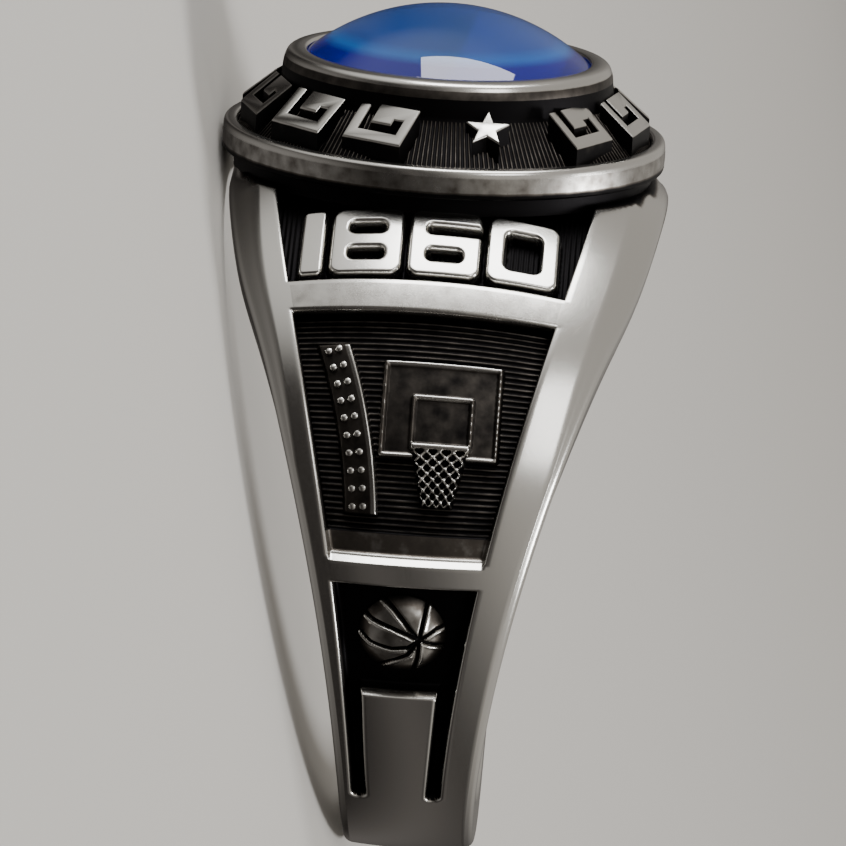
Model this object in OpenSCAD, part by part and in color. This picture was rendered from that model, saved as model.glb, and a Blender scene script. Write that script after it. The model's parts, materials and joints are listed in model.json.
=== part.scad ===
// Class ring lying on its side, as it rests on a table when it is put down.
// The casting is drawn standing up first: X along the finger, Z up through the stone, -Y towards the near
// shoulder, with the finger hole's centre at the origin. The last transform lays it down on its crown rim
// and its palm edge.

/* [Finger hole] */
// Inside diameter of the ring, US size 10 1/2
bore_d = 20.2; // [17:0.1:23]

/* [Shank] */
// Metal between the finger hole and the outside, under the finger
palm_wall = 1.65; // [1.3:0.05:2.4]
// Metal between the finger hole and the outer circle, on the crown side
crown_wall = 2.55; // [2.3:0.05:3.2]
// Width of the band at its narrowest, under the finger
palm_width = 4.24; // [3.6:0.1:6]
// Width of the two shoulders where they meet the crown
shoulder_width = 14.1; // [12.6:0.1:14.3]
// Height of the narrowest place below the finger hole's centre
waist_drop = 10.7; // [8:0.1:12]
// Radius of the dome across the shank's outer face
face_r = 16; // [12:0.5:30]
// How far the band lies to one side of the shoulder panels, as on the worn ring
band_shift = 0.33; // [0:0.05:0.4]

/* [Crown] */
// Solid metal between the finger hole and the groove under the crown
crown_floor = 0.78; // [0.7:0.05:1.6]
// Height of the groove between the shoulders and the rim
groove_h = 0.4; // [0.2:0.02:0.6]
// How far the groove goes in under the rim
groove_depth = 0.4; // [0.2:0.05:0.8]
// Height of the rim's outer wall
rim_h = 0.98; // [0.6:0.02:1.4]
// Width of the rim's flat top
rim_ledge = 0.48; // [0.3:0.05:0.8]
// Height of the rim's top over the foot of the ornament band
rim_lip = 0.24; // [0.1:0.02:0.4]
// Width of the sloping ornament band, seen from above
band_width = 1.35; // [1.2:0.05:1.8]
// Height that the ornaments rise from the rim's top to the bezel
band_rise = 1.55; // [1.3:0.05:2]
// Height of the ornaments over the band's floor
ornament_relief = 0.45; // [0.3:0.05:0.6]
// Width of each ornament's sloping face, seen from above
ornament_reach = 1.0; // [0.8:0.05:1.1]
// Width of an ornament round the crown
ornament_width = 2.1; // [1.6:0.1:2.3]
// Width of the strokes that an ornament is drawn with
ornament_stroke = 0.36; // [0.25:0.02:0.45]
// Number of places for ornaments and stars round the crown
ornament_count = 12; // [8:2:14]
// Tip radius of the stars
star_r = 0.8; // [0.6:0.05:0.95]
// Length round the crown from the middle of the side to the star
star_start = 1.5; // [0:0.01:2]
// Extra space on each side of a star
star_space = 0.7; // [0:0.05:1]

/* [Stone] */
// Length of the stone along the finger
stone_l = 10; // [9.6:0.1:10.6]
// Width of the stone across the finger, as a share of its length
stone_share = 0.9; // [0.78:0.01:0.94]
// Height of the stone's dome over its widest line
stone_dome = 2.1; // [1.5:0.05:2.5]
// Height of the stone's straight edge
stone_edge = 1.3; // [0.9:0.05:1.6]
// Bevel round the stone's flat back
stone_bevel = 0.3; // [0.1:0.05:0.5]
// Clearance between the stone and the metal
stone_gap = 0.03; // [0.02:0.01:0.06]

/* [Bezel] */
// Metal round the stone at the bezel's foot
bezel_wall = 0.36; // [0.3:0.02:0.5]
// Height of the bezel over the ornaments
bezel_h = 0.86; // [0.7:0.05:1.1]
// How far the bezel's lip reaches in over the stone
lip_cover = 0.4; // [0.2:0.05:0.6]
// Width of the bezel's top
lip_width = 0.64; // [0.4:0.02:0.74]

/* [Shoulder panels] */
// Depth of the sunk panels in the shoulders
panel_depth = 0.65; // [0.4:0.05:0.8]
// Width of the sunk panels at the crown
panel_top_w = 10.1; // [9.6:0.1:10.8]
// Width that the panels narrow to under the finger
panel_low_w = 2.68; // [2.2:0.1:3]
// Height of the bar under the numerals, along the shank
upper_bar = 1.15; // [0.6:0.05:1.4]
// Height of the bar over the ball, along the shank
lower_bar = 0.92; // [0.5:0.02:1.1]
// Depth of the step above the lower bar
step_depth = 0.35; // [0.2:0.05:0.5]
// Height of the step above the lower bar, along the shank
step_h = 0.75; // [0.4:0.05:1]
// Width of the tongue between the two channels, at its upper end
tongue_w = 2.36; // [1.8:0.02:2.6]
// Width of the tongue at its lower end
tongue_low_w = 1.9; // [1.4:0.02:2.1]

/* [Relief] */
// Height of the numerals along the shank
numeral_h = 2.8; // [2.2:0.05:2.9]
// Width of a wide numeral
numeral_w = 2.3; // [1.8:0.05:2.35]
// Width of the numerals' strokes
numeral_stroke = 0.55; // [0.4:0.05:0.6]
// Space between numerals
numeral_gap = 0.16; // [0.12:0.01:0.24]
// Width of the curved banner
banner_w = 1.08; // [0.8:0.02:1.3]
// Number of studs on the banner
stud_count = 10; // [6:1:12]
// Thickness of each stud, along the banner
stud_h = 0.28; // [0.2:0.02:0.34]
// Distance from the panel's edge to the banner
banner_inset = 0.64; // [0.5:0.02:0.8]
// Distance of the backboard's middle from the panel's middle, along the finger
board_x = 0.82; // [0.6:0.02:0.9]
// Width of the backboard
board_w = 3.8; // [3.2:0.1:4]
// Height of the backboard along the shank
board_h = 3.05; // [2.6:0.05:3.2]
// Width of the raised frames on the backboard
frame_w = 0.2; // [0.12:0.02:0.3]
// Width of the hoop over the net
hoop_w = 1.9; // [1.5:0.05:2.2]
// Thickness of the hoop's edge
hoop_h = 0.24; // [0.16:0.02:0.3]
// Length of the net under the hoop
net_h = 1.85; // [1.4:0.05:2.1]
// Width of the net's lower end
net_low_w = 1.05; // [0.8:0.05:1.3]
// Width of the net's strings
string_w = 0.18; // [0.12:0.02:0.22]
// Radius of the ball
ball_r = 1.36; // [1:0.02:1.45]
// Height of the ball's dome
ball_rise = 0.45; // [0.3:0.05:0.5]
// Width of the grooves in the ball
seam_w = 0.12; // [0.08:0.02:0.2]
// Depth of the grooves in the ball
seam_depth = 0.14; // [0.08:0.02:0.2]

/* [Hidden] */
$fn = 96;

// Shank, seen from the side: an outer circle that is lifted a little off the finger hole's centre
bore_r = bore_d / 2;
outer_r = bore_r + (palm_wall + crown_wall) / 2;
lift = (crown_wall - palm_wall) / 2;
shoulder_u = bore_r + crown_floor;
waist_u = -waist_drop;
beyond = 3 * outer_r;
bury = 0.1;

// Radius of the arc that takes a half width at the waist out to a half width at the crown
function flare(low_w, top_w) =
    let (out = (top_w - low_w) / 2, up = shoulder_u - waist_u)
    (out * out + up * up) / (2 * out);
shank_flare = flare(palm_width, shoulder_width);
panel_flare = flare(panel_low_w, panel_top_w);

// Half width of the sunk panels at a height above the finger hole's centre
function panel_half(u) =
    panel_low_w / 2 + panel_flare - sqrt(panel_flare * panel_flare - (u - waist_u) * (u - waist_u));

// Angle round the shank that a length along its outer face takes
function turn(length) = length / outer_r * 180 / PI;

// Angles down the shoulder, from the crown
year_centre = 37;
year_foot = 44.6;
upper_bar_foot = year_foot + turn(upper_bar);
banner_top = 54.9;
banner_foot = 81.1;
board_centre = 64.7;
hoop_centre = 70.2;
step_foot = 87.3;
picture_foot = step_foot - turn(step_h);
lower_bar_foot = step_foot + turn(lower_bar);
ball_centre = 99.9;
tongue_top = 109.4;
channel_foot = 132.9;

// Crown levels, above the finger hole's centre
rim_foot = shoulder_u + groove_h;
rim_top = rim_foot + rim_h;
bezel_foot = rim_top + band_rise;
lip_top = bezel_foot + bezel_h;
band_top = bezel_foot - ornament_relief;
band_foot = rim_top - rim_lip;
ornament_slope = 0.85;
star_notch = 0.42 * star_r;

// Half lengths of the crown's ovals, along the finger
stone_r = stone_l / 2;
bezel_r = stone_r + bezel_wall;
band_r = bezel_r + band_width;
rim_r = band_r + rim_ledge;
neck_r = rim_r - groove_depth;
lip_r = stone_r - lip_cover;

// Every oval is four arcs about the same four centres, so all lie a constant distance from the stone
side_half = stone_r * stone_share;
end_arc = side_half * side_half / stone_r;
end_x = stone_r - end_arc;
side_y = (end_x * end_x - (side_half - end_arc) * (side_half - end_arc)) / (2 * (side_half - end_arc));
side_arc = side_half + side_y;
end_turn = atan2(side_y, end_x);
oval_steps = 11;

// Stone: a flat back, a straight edge and a dome that is rounder across the finger than along it
dome_along = (stone_r * stone_r + stone_dome * stone_dome) / (2 * stone_dome);
dome_across = (side_half * side_half + stone_dome * stone_dome) / (2 * stone_dome);
lip_edge = 0.08;
lip_half_w = side_half - lip_cover;
lip_rise = stone_dome - dome_across + sqrt(dome_across * dome_across - lip_half_w * lip_half_w);
girdle_u = lip_top - lip_edge - stone_gap - lip_rise;
dome_top = girdle_u + stone_dome;
stone_foot = girdle_u - stone_edge;

// Depths below the shank's face at which the relief in the sunk panels ends
numeral_sink = 0.1;
banner_sink = 0.3;
board_sink = 0.4;
frame_sink = 0.3;
net_sink = 0.2;
hoop_sink = 0.08;
ball_sink = 0.05;

// Pose: the ring lies on the rim's lower edge and on the palm's outer edge
palm_reach = palm_width / 2 - band_shift;
function face_sag(x) = face_r - sqrt(face_r * face_r - x * x);
palm_u = lift - outer_r + face_sag(palm_reach);
rim_reach = end_x + (rim_r - end_x) * cos(end_turn / oval_steps);
rest_tilt = atan((rim_reach - palm_reach) / (rim_foot - palm_u));
rest_height = rim_reach * cos(rest_tilt) - rim_foot * sin(rest_tilt);
stone_end = (dome_top - dome_along) * cos(rest_tilt) + dome_along;
palm_far = palm_width / 2 + band_shift;
palm_end = (outer_r - lift - face_sag(palm_far)) * cos(rest_tilt) + palm_far * sin(rest_tilt);

module lay_down() {
    translate([(stone_end - palm_end) / 2, 0, rest_height])
        rotate([0, rest_tilt - 90, 0])
            children();
}

// The shank's domed outer face, moved in by a depth
module barrel(depth) {
    translate([0, 0, lift])
        rotate([0, 90, 0])
            rotate_extrude()
                intersection() {
                    translate([outer_r - face_r, 0]) circle(r = face_r - depth);
                    translate([0, -beyond / 2]) square([beyond, beyond]);
                }
}

// Seen from the front: what lies between two arcs that open upwards from the waist
module between_arcs(low_w, arc_r) {
    difference() {
        translate([-outer_r, -beyond / 2]) square([2 * outer_r, beyond / 2 + shoulder_u]);
        for (side = [-1, 1])
            translate([side * (low_w / 2 + arc_r), waist_u]) circle(r = arc_r, $fn = 240);
    }
}

module front_prism() {
    rotate([90, 0, 0])
        linear_extrude(height = beyond, center = true)
            children();
}

// A slice of the near shoulder between two angles from the crown
module slice(from, to) {
    translate([0, 0, lift])
        rotate([90, 0, 90])
            linear_extrude(height = beyond, center = true)
                polygon(concat(
                    [[0, 0]],
                    [for (a = [from, (from + to) / 2, to]) beyond * [-sin(a), cos(a)]]
                ));
}

module pocket(from, to, depth) {
    difference() {
        intersection() {
            front_prism() between_arcs(panel_low_w, panel_flare);
            slice(from, to);
        }
        barrel(depth);
    }
}

// Tongue between the two channels, from the front
module tongue_outline() {
    top_u = lift + outer_r * cos(tongue_top);
    foot_u = lift + outer_r * cos(channel_foot);
    polygon([
        [-tongue_w / 2, top_u], [tongue_w / 2, top_u],
        [tongue_low_w / 2, foot_u - 1], [-tongue_low_w / 2, foot_u - 1]
    ]);
}

module pockets() {
    pocket(0, year_foot, panel_depth);
    pocket(upper_bar_foot, picture_foot, panel_depth);
    pocket(picture_foot - 1, step_foot, step_depth);
    difference() {
        pocket(lower_bar_foot, channel_foot, panel_depth);
        front_prism() tongue_outline();
    }
}

module shank() {
    difference() {
        intersection() {
            barrel(0);
            front_prism() translate([band_shift, 0]) between_arcs(palm_width, shank_flare);
        }
        rotate([0, 90, 0]) cylinder(r = bore_r, h = beyond, center = true);
        for (face = [0, 180]) rotate([0, 0, face]) pockets();
    }
}

// A place on the near shoulder's face: X along the finger, Y up the shoulder, Z out of the metal
module on_face(angle, x) {
    translate([0, 0, lift])
        rotate([angle, 0, 0])
            translate([0, 0, outer_r - face_r])
                rotate([0, asin(x / face_r), 0])
                    translate([0, 0, face_r])
                        children();
}

// A flat drawing raised from a pocket's floor to a depth below the face
module raised(sink) {
    foot = panel_depth + 4 * bury;
    translate([0, 0, -foot])
        linear_extrude(height = foot - sink)
            children();
}

// A block with cut corners, centred
module block(w, h, cut) {
    polygon([
        [-w / 2 + cut, -h / 2], [w / 2 - cut, -h / 2], [w / 2, -h / 2 + cut], [w / 2, h / 2 - cut],
        [w / 2 - cut, h / 2], [-w / 2 + cut, h / 2], [-w / 2, h / 2 - cut], [-w / 2, -h / 2 + cut]
    ]);
}

// Block numerals: "1", "8", "6" and "0"
one_w = 1.45 * numeral_stroke;
numeral_corner = 0.4 * numeral_stroke;
module numeral(which) {
    hole_w = numeral_w - 2 * numeral_stroke;
    hole_h = (numeral_h - 3 * numeral_stroke) / 2;
    half = (numeral_stroke + hole_h) / 2;
    if (which == "1") {
        block(one_w, numeral_h, numeral_corner);
    } else {
        difference() {
            block(numeral_w, numeral_h, numeral_corner);
            if (which == "0") block(hole_w, numeral_h - 2 * numeral_stroke, numeral_corner / 2);
            if (which != "0") translate([0, -half]) block(hole_w, hole_h, numeral_corner / 2);
            if (which == "8") translate([0, half]) block(hole_w, hole_h, numeral_corner / 2);
            if (which == "6")
                translate([numeral_w / 2, half]) square([numeral_w + hole_w, hole_h], center = true);
        }
    }
}

module numerals() {
    row = one_w + 3 * (numeral_w + numeral_gap);
    on_face(year_centre, (one_w - row) / 2) raised(numeral_sink) numeral("1");
    for (i = [0:2])
        on_face(year_centre, row / 2 - numeral_w / 2 - (2 - i) * (numeral_w + numeral_gap))
            raised(numeral_sink) numeral(["8", "6", "0"][i]);
}

// A frame with a rectangular hole, centred
module picture_frame(w, h) {
    difference() {
        square([w, h], center = true);
        square([w - 2 * frame_w, h - 2 * frame_w], center = true);
    }
}

module backboard() {
    on_face(board_centre, board_x) {
        raised(board_sink) square([board_w, board_h], center = true);
        raised(frame_sink) picture_frame(board_w, board_h);
        raised(frame_sink) translate([0, -board_h / 7]) picture_frame(board_w / 2, board_h / 2);
    }
}

string_lean = 32;
module net_outline() {
    half_w = hoop_w / 2 - bury;
    half_h = net_h / 2;
    polygon([[-half_w, half_h], [half_w, half_h], [net_low_w / 2, -half_h], [-net_low_w / 2, -half_h]]);
}

module net_strings() {
    intersection() {
        net_outline();
        for (lean = [-string_lean, string_lean], i = [-2:2])
            translate([i * hoop_w / 4, 0])
                rotate(lean)
                    square([string_w, 2 * net_h], center = true);
    }
}

module hoop_and_net() {
    on_face(hoop_centre + turn(net_h / 2), board_x) {
        raised(board_sink) net_outline();
        raised(net_sink) net_strings();
        raised(hoop_sink) translate([0, net_h / 2]) square([hoop_w, hoop_h], center = true);
    }
}

// Banner that follows the panel's edge
module banner() {
    intersection() {
        front_prism()
            translate([-panel_low_w / 2 - panel_flare, waist_u])
                difference() {
                    circle(r = panel_flare + banner_inset + banner_w, $fn = 240);
                    circle(r = panel_flare + banner_inset, $fn = 240);
                }
        slice(banner_top, banner_foot);
        difference() {
            barrel(banner_sink);
            barrel(panel_depth + bury);
        }
    }
}

module banner_studs() {
    for (i = [0:stud_count - 1]) {
        angle = banner_top + (banner_foot - banner_top) * (i + 0.5) / stud_count;
        edge = panel_half(lift + outer_r * cos(angle));
        on_face(angle, banner_inset + banner_w / 2 - edge)
            raised(net_sink) square([banner_w / 2, stud_h], center = true);
    }
}

// The ball's seams run out from a pole where they meet
pole_x = 0.4 * ball_r;
seam_turns = [25, 81, 134, 158, 181, 223, 263, 336];
module seams() {
    translate([pole_x, 0])
        for (a = seam_turns)
            rotate(a)
                translate([0, -seam_w / 2])
                    square([2 * ball_r, seam_w]);
}

module ball() {
    foot = panel_depth + 4 * bury;
    bulge = (ball_r * ball_r + ball_rise * ball_rise) / (2 * ball_rise);
    on_face(ball_centre, 0)
        translate([0, 0, -ball_sink])
            difference() {
                intersection() {
                    translate([0, 0, -foot]) cylinder(r = ball_r, h = foot);
                    translate([0, 0, -bulge]) sphere(r = bulge);
                }
                difference() {
                    translate([0, 0, -ball_rise]) linear_extrude(height = foot) seams();
                    translate([0, 0, -bulge]) sphere(r = bulge - seam_depth);
                }
            }
}

module shoulder_relief() {
    numerals();
    backboard();
    hoop_and_net();
    banner();
    banner_studs();
    ball();
}

// One oval that lies a distance outside the stone's widest line, as points from the near side round
function oval(grow) = [
    for (arc = [0:3], i = [0:oval_steps - 1])
        let (
            centre = [[0, side_y], [end_x, 0], [0, -side_y], [-end_x, 0]][arc],
            radius = (arc % 2 == 0 ? side_arc : end_arc) + grow,
            reach = arc % 2 == 0 ? 90 - end_turn : end_turn,
            a = 90 * arc - reach + 2 * reach * i / oval_steps
        )
        centre + radius * [sin(a), -cos(a)]
];

// Sweeps a profile round the oval; its rows are half length along the finger and height, from the foot up
module swept_oval(profile) {
    n = 4 * oval_steps;
    rings = len(profile);
    polyhedron(
        points = [for (row = profile) each [for (q = oval(row[0] - stone_r)) [q[0], q[1], row[1]]]],
        faces = concat(
            [[for (i = [0:n - 1]) i], [for (i = [n - 1:-1:0]) (rings - 1) * n + i]],
            [for (k = [0:rings - 2], i = [0:n - 1])
                let (next = (i + 1) % n)
                [k * n + i, (k + 1) * n + i, (k + 1) * n + next, k * n + next]]
        )
    );
}

// The stone, or with a clearance all round the pocket that it lies in
module stone_body(grow) {
    foot = stone_foot - grow;
    edge = stone_r + grow;
    intersection() {
        swept_oval([[edge - stone_bevel, foot], [edge, foot + stone_bevel], [edge, dome_top + stone_dome]]);
        translate([0, 0, dome_top - dome_along])
            rotate([90, 0, 0])
                rotate_extrude()
                    intersection() {
                        translate([dome_along - dome_across, 0]) circle(r = dome_across + grow);
                        translate([0, -stone_l]) square([stone_l, 2 * stone_l]);
                    }
    }
}

module crown_body() {
    swept_oval([
        [neck_r, shoulder_u - bury], [neck_r, rim_foot], [rim_r, rim_foot], [rim_r, rim_top],
        [band_r, rim_top], [band_r, band_foot], [bezel_r, band_top], [bezel_r, bezel_foot],
        [lip_r + lip_width, lip_top]
    ]);
}

module star_outline() {
    polygon([for (i = [0:9]) (i % 2 == 0 ? star_r : star_notch) * [sin(36 * i), cos(36 * i)]]);
}

// A squared spiral, open at one side, as a key pattern has
module key_outline() {
    w = ornament_width;
    h = ornament_reach + 2 * bury;
    s = ornament_stroke;
    polygon([
        [-w / 2, -h / 2], [w / 2, -h / 2], [w / 2, h / 2], [-w / 2 + 2 * s, h / 2], [-w / 2 + 2 * s, 0],
        [w / 2 - 2 * s, 0], [w / 2 - 2 * s, s / 2], [w / 2 - s, s / 2], [w / 2 - s, s - h / 2],
        [-w / 2 + s, s - h / 2], [-w / 2 + s, h / 2], [-w / 2, h / 2]
    ]);
}

// The ornaments' middle line, measured in degrees times arc radius from the middle of the near side;
// PI / 180 of it is a length
ornament_middle = bezel_wall + ornament_reach / 2;
side_run = (90 - end_turn) * (side_arc + ornament_middle);
end_run = 2 * end_turn * (end_arc + ornament_middle);
half_run = 2 * side_run + end_run;

// Sets its children at a distance along that line, with their Y towards the stone
module on_band(run) {
    if (run < side_run)
        translate([0, side_y, 0])
            rotate(run / (side_arc + ornament_middle))
                translate([0, -side_arc - ornament_middle, 0])
                    children();
    else if (run < side_run + end_run)
        translate([end_x, 0, 0])
            rotate(90 - end_turn + (run - side_run) / (end_arc + ornament_middle))
                translate([0, -end_arc - ornament_middle, 0])
                    children();
    else
        translate([0, -side_y, 0])
            rotate(180 - (half_run - run) / (side_arc + ornament_middle))
                translate([0, -side_arc - ornament_middle, 0])
                    children();
}

// An outline raised off the band, with a face that slopes down from the bezel
module ornament() {
    inner = ornament_reach / 2;
    outer = ornament_reach;
    intersection() {
        translate([0, 0, band_foot]) linear_extrude(height = bezel_foot - band_foot) children();
        rotate([90, 0, 90])
            linear_extrude(height = 2 * ornament_width, center = true)
                polygon([
                    [inner + 2 * bury, band_foot], [inner + 2 * bury, bezel_foot], [inner, bezel_foot],
                    [-outer, bezel_foot - ornament_slope * (inner + outer)], [-outer, band_foot]
                ]);
    }
}

module ornaments() {
    places = ornament_count / 2;
    space = star_space * 180 / PI;
    start = star_start * 180 / PI;
    for (half = [0, 180], i = [0:places - 1])
        rotate(half)
            on_band(start + i * (half_run - 2 * space) / places + (i > 0 ? space : 0))
                ornament()
                    if (i == 0) star_outline();
                    else key_outline();
}

module crown() {
    difference() {
        union() {
            crown_body();
            ornaments();
        }
        stone_body(stone_gap);
        swept_oval([[lip_r, girdle_u], [lip_r, dome_top]]);
    }
}

module cast_ring() {
    color("silver")
        lay_down() {
            shank();
            for (face = [0, 180]) rotate([0, 0, face]) shoulder_relief();
            crown();
        }
}

module stone() {
    color("royalblue")
        lay_down()
            stone_body(0);
}

cast_ring();
stone();
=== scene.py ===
import json
import logging
import math
from collections.abc import Callable, Sequence
from dataclasses import dataclass
from enum import Enum

import bpy
import numpy as np
from mathutils import Matrix, Vector


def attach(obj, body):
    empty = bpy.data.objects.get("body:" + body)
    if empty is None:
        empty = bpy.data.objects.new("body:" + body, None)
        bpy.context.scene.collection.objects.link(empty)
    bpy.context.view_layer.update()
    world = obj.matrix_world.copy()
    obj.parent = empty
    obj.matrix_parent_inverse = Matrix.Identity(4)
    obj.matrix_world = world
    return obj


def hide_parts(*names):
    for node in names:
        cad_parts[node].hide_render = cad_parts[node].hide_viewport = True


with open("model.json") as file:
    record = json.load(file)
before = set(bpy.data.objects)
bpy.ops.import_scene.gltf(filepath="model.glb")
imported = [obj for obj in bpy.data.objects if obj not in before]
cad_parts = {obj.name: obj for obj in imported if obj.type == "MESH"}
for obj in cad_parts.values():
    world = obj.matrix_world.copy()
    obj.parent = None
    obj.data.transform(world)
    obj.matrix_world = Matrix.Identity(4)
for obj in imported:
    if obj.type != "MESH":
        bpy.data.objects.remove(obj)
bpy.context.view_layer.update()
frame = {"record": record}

MM = 0.001
TURN = 2 * math.pi
log = logging.getLogger("class_ring")

Array = np.ndarray
Heights = Callable[[Array, Array], tuple[Array, Array]]
Solid = tuple[Array, list, Array]
Line = tuple[tuple[float, float], ...]


class Side(Enum):
    """The two shoulders; the far one is the near one turned half round."""

    NEAR = 1
    FAR = -1


def linear(hex_colour: str) -> tuple[float, ...]:
    """Turns an sRGB hex colour to linear light.

    Args:
        hex_colour: Six hex digits after a hash.

    Returns:
        Red, green and blue in linear light, and a full alpha.
    """
    parts = [int(hex_colour[i : i + 2], 16) / 255 for i in (1, 3, 5)]
    return (*[c / 12.92 if c <= 0.04045 else ((c + 0.055) / 1.055) ** 2.4 for c in parts], 1.0)


def smooth(low: float, high: float, value: Array) -> Array:
    """Rises from 0 at low to 1 at high, with a soft start and end.

    Args:
        low: Where the rise starts.
        high: Where it ends; it may be under low, and then it falls.
        value: What is compared.

    Returns:
        Shares from 0 to 1.
    """
    t = np.clip((value - low) / (high - low), 0, 1)
    return t * t * (3 - 2 * t)


def add_node(
    tree: bpy.types.NodeTree, kind: str, inputs: dict | None = None, **settings: object
) -> bpy.types.Node:
    """Adds a node with its settings and its inputs.

    Args:
        tree: The node tree.
        kind: The node's type.
        inputs: Inputs by name or place; a socket is linked and anything else is set as a value.
        settings: Properties to set, by name.

    Returns:
        The new node.
    """
    node = tree.nodes.new(kind)
    for name, value in settings.items():
        setattr(node, name, value)
    for name, value in (inputs or {}).items():
        if isinstance(value, bpy.types.NodeSocket):
            tree.links.new(value, node.inputs[name])
        else:
            node.inputs[name].default_value = value
    return node


def empty_tree(owner: bpy.types.Material | bpy.types.World) -> bpy.types.NodeTree:
    """Clears the nodes of a material or a world.

    Args:
        owner: What the nodes belong to.

    Returns:
        Its empty node tree.
    """
    owner.use_nodes = True
    owner.node_tree.nodes.clear()
    return owner.node_tree


def set_stops(ramp: bpy.types.ColorRamp, stops: Sequence[tuple[float, str]]) -> None:
    """Gives a new colour ramp its stops.

    Args:
        ramp: The ramp, which still has its first two stops.
        stops: Place and hex colour of each stop, from low to high.
    """
    for element, (place, colour) in zip(ramp.elements, (stops[0], stops[-1])):
        element.position, element.color = place, linear(colour)
    for place, colour in stops[1:-1]:
        ramp.elements.new(place).color = linear(colour)


def add_object(name: str, data: bpy.types.ID) -> bpy.types.Object:
    """Makes an object and puts it in the scene.

    Args:
        name: Its name.
        data: Its mesh, light or camera.

    Returns:
        The object, at the origin.
    """
    made = bpy.data.objects.new(name, data)
    bpy.context.scene.collection.objects.link(made)
    return made


@dataclass(frozen=True)
class RingFrame:
    """The ring's own frame in mm.

    X runs along the finger, Y away from the near shoulder and Z up through the stone.
    """

    origin: Array
    along: Array

    @classmethod
    def from_record(cls, record: dict) -> "RingFrame":
        """Reads the frame from the finger hole's mount.

        Args:
            record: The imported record.

        Returns:
            The frame, with its origin in the middle of the finger hole.
        """
        hole = next(m for m in record["mounts"] if m["name"] == "finger_hole")
        return cls(np.array(hole["pos_m"], float), np.array(hole["axis"], float))

    def basis(self) -> Array:
        """Returns the frame's three directions as rows."""
        across = np.array([0.0, 1.0, 0.0])
        return np.stack([self.along, across, np.cross(self.along, across)])

    def to_row(self, points: Array) -> Array:
        """Takes points in the ring's millimetres to the shared frame, in metres."""
        return self.origin + MM * np.asarray(points, float) @ self.basis()


def body_faces(rings: int, cols: int, loop: bool = False, pole: bool = False) -> list:
    """Joins rings of points to a closed body, with every face wound the same way.

    Args:
        rings: Number of rings.
        cols: Number of points in a ring.
        loop: Whether the last ring joins the first; otherwise a face closes each end.
        pole: Whether point 0 closes the start with a fan, and the rings follow it.

    Returns:
        The faces as lists of point numbers.
    """
    start = int(pole)
    a, b = np.meshgrid(np.arange(rings if loop else rings - 1), np.arange(cols), indexing="ij")
    c, d = (a + 1) % rings, (b + 1) % cols
    quads = np.stack([a * cols + b, a * cols + d, c * cols + d, c * cols + b], -1)
    faces = (quads.reshape(-1, 4) + start).tolist()
    if loop:
        return faces
    if pole:
        faces += [[0, 1 + (i + 1) % cols, 1 + i] for i in range(cols)]
    else:
        faces.append(list(range(cols))[::-1])
    faces.append([start + (rings - 1) * cols + i for i in range(cols)])
    return faces


def join_solids(parts: Sequence[Solid]) -> Solid:
    """Joins solids to one.

    Args:
        parts: Points, faces and patina of each.

    Returns:
        Points, faces and patina of all.
    """
    faces, count = [], 0
    for points, sides, _ in parts:
        faces += [[v + count for v in side] for side in sides]
        count += len(points)
    return np.concatenate([p[0] for p in parts]), faces, np.concatenate([p[2] for p in parts])


def finish_mesh(mesh: bpy.types.Mesh, crease: float) -> None:
    """Turns the faces outwards and shades them smooth.

    Args:
        mesh: The mesh.
        crease: Angle in degrees from which an edge is sharp.
    """
    mesh.update()
    mesh.calc_loop_triangles()
    co = np.empty(len(mesh.vertices) * 3)
    mesh.vertices.foreach_get("co", co)
    co = co.reshape(-1, 3) - co.reshape(-1, 3).mean(0)
    tri = np.empty(len(mesh.loop_triangles) * 3, int)
    mesh.loop_triangles.foreach_get("vertices", tri)
    a, b, c = (co[tri.reshape(-1, 3)[:, k]] for k in range(3))
    if np.einsum("ij,ij->i", a, np.cross(b, c)).sum() < 0:
        mesh.flip_normals()
    mesh.polygons.foreach_set("use_smooth", np.ones(len(mesh.polygons), bool))
    mesh.set_sharp_from_angle(angle=math.radians(crease))
    mesh.update()


def make_piece(name: str, solid: Solid, crease: float = 50) -> bpy.types.Object:
    """Makes a smooth-shaded object whose faces point outwards.

    Args:
        name: The object's name.
        solid: Its points in the shared frame in metres, its faces, and the patina of each point. On the
            metal patina is the blackening, from 0 to 1, and below 0 it is bare as cast; it also holds
            painted shade under the crown and painted highlights on some frame lines and the banner's edge.
            On the stone it is how far out a point lies, as a share, by which its light and shade are
            painted.
        crease: Angle in degrees from which an edge is sharp.

    Returns:
        The new object, at the origin.
    """
    points, faces, patina = solid
    mesh = bpy.data.meshes.new(name)
    mesh.from_pydata(np.asarray(points).reshape(-1, 3).tolist(), [], [list(f) for f in faces])
    layer = mesh.attributes.new("patina", "FLOAT", "POINT")
    layer.data.foreach_set("value", np.asarray(patina, np.float32).reshape(-1))
    finish_mesh(mesh, crease)
    return add_object(name, mesh)


def dress(piece: bpy.types.Object, material: bpy.types.Material, slot: str, *nodes: str) -> None:
    """Gives a piece its material and its place on the ring.

    Args:
        piece: The object.
        material: Its material.
        slot: The record's material slot; it is not used.
        nodes: The CAD nodes that it stands for.
    """
    piece.data.materials.clear()
    piece.data.materials.append(material)
    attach(piece, "root")
    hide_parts(*nodes)
    log.info("%s: %d faces", piece.name, len(piece.data.polygons))


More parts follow.
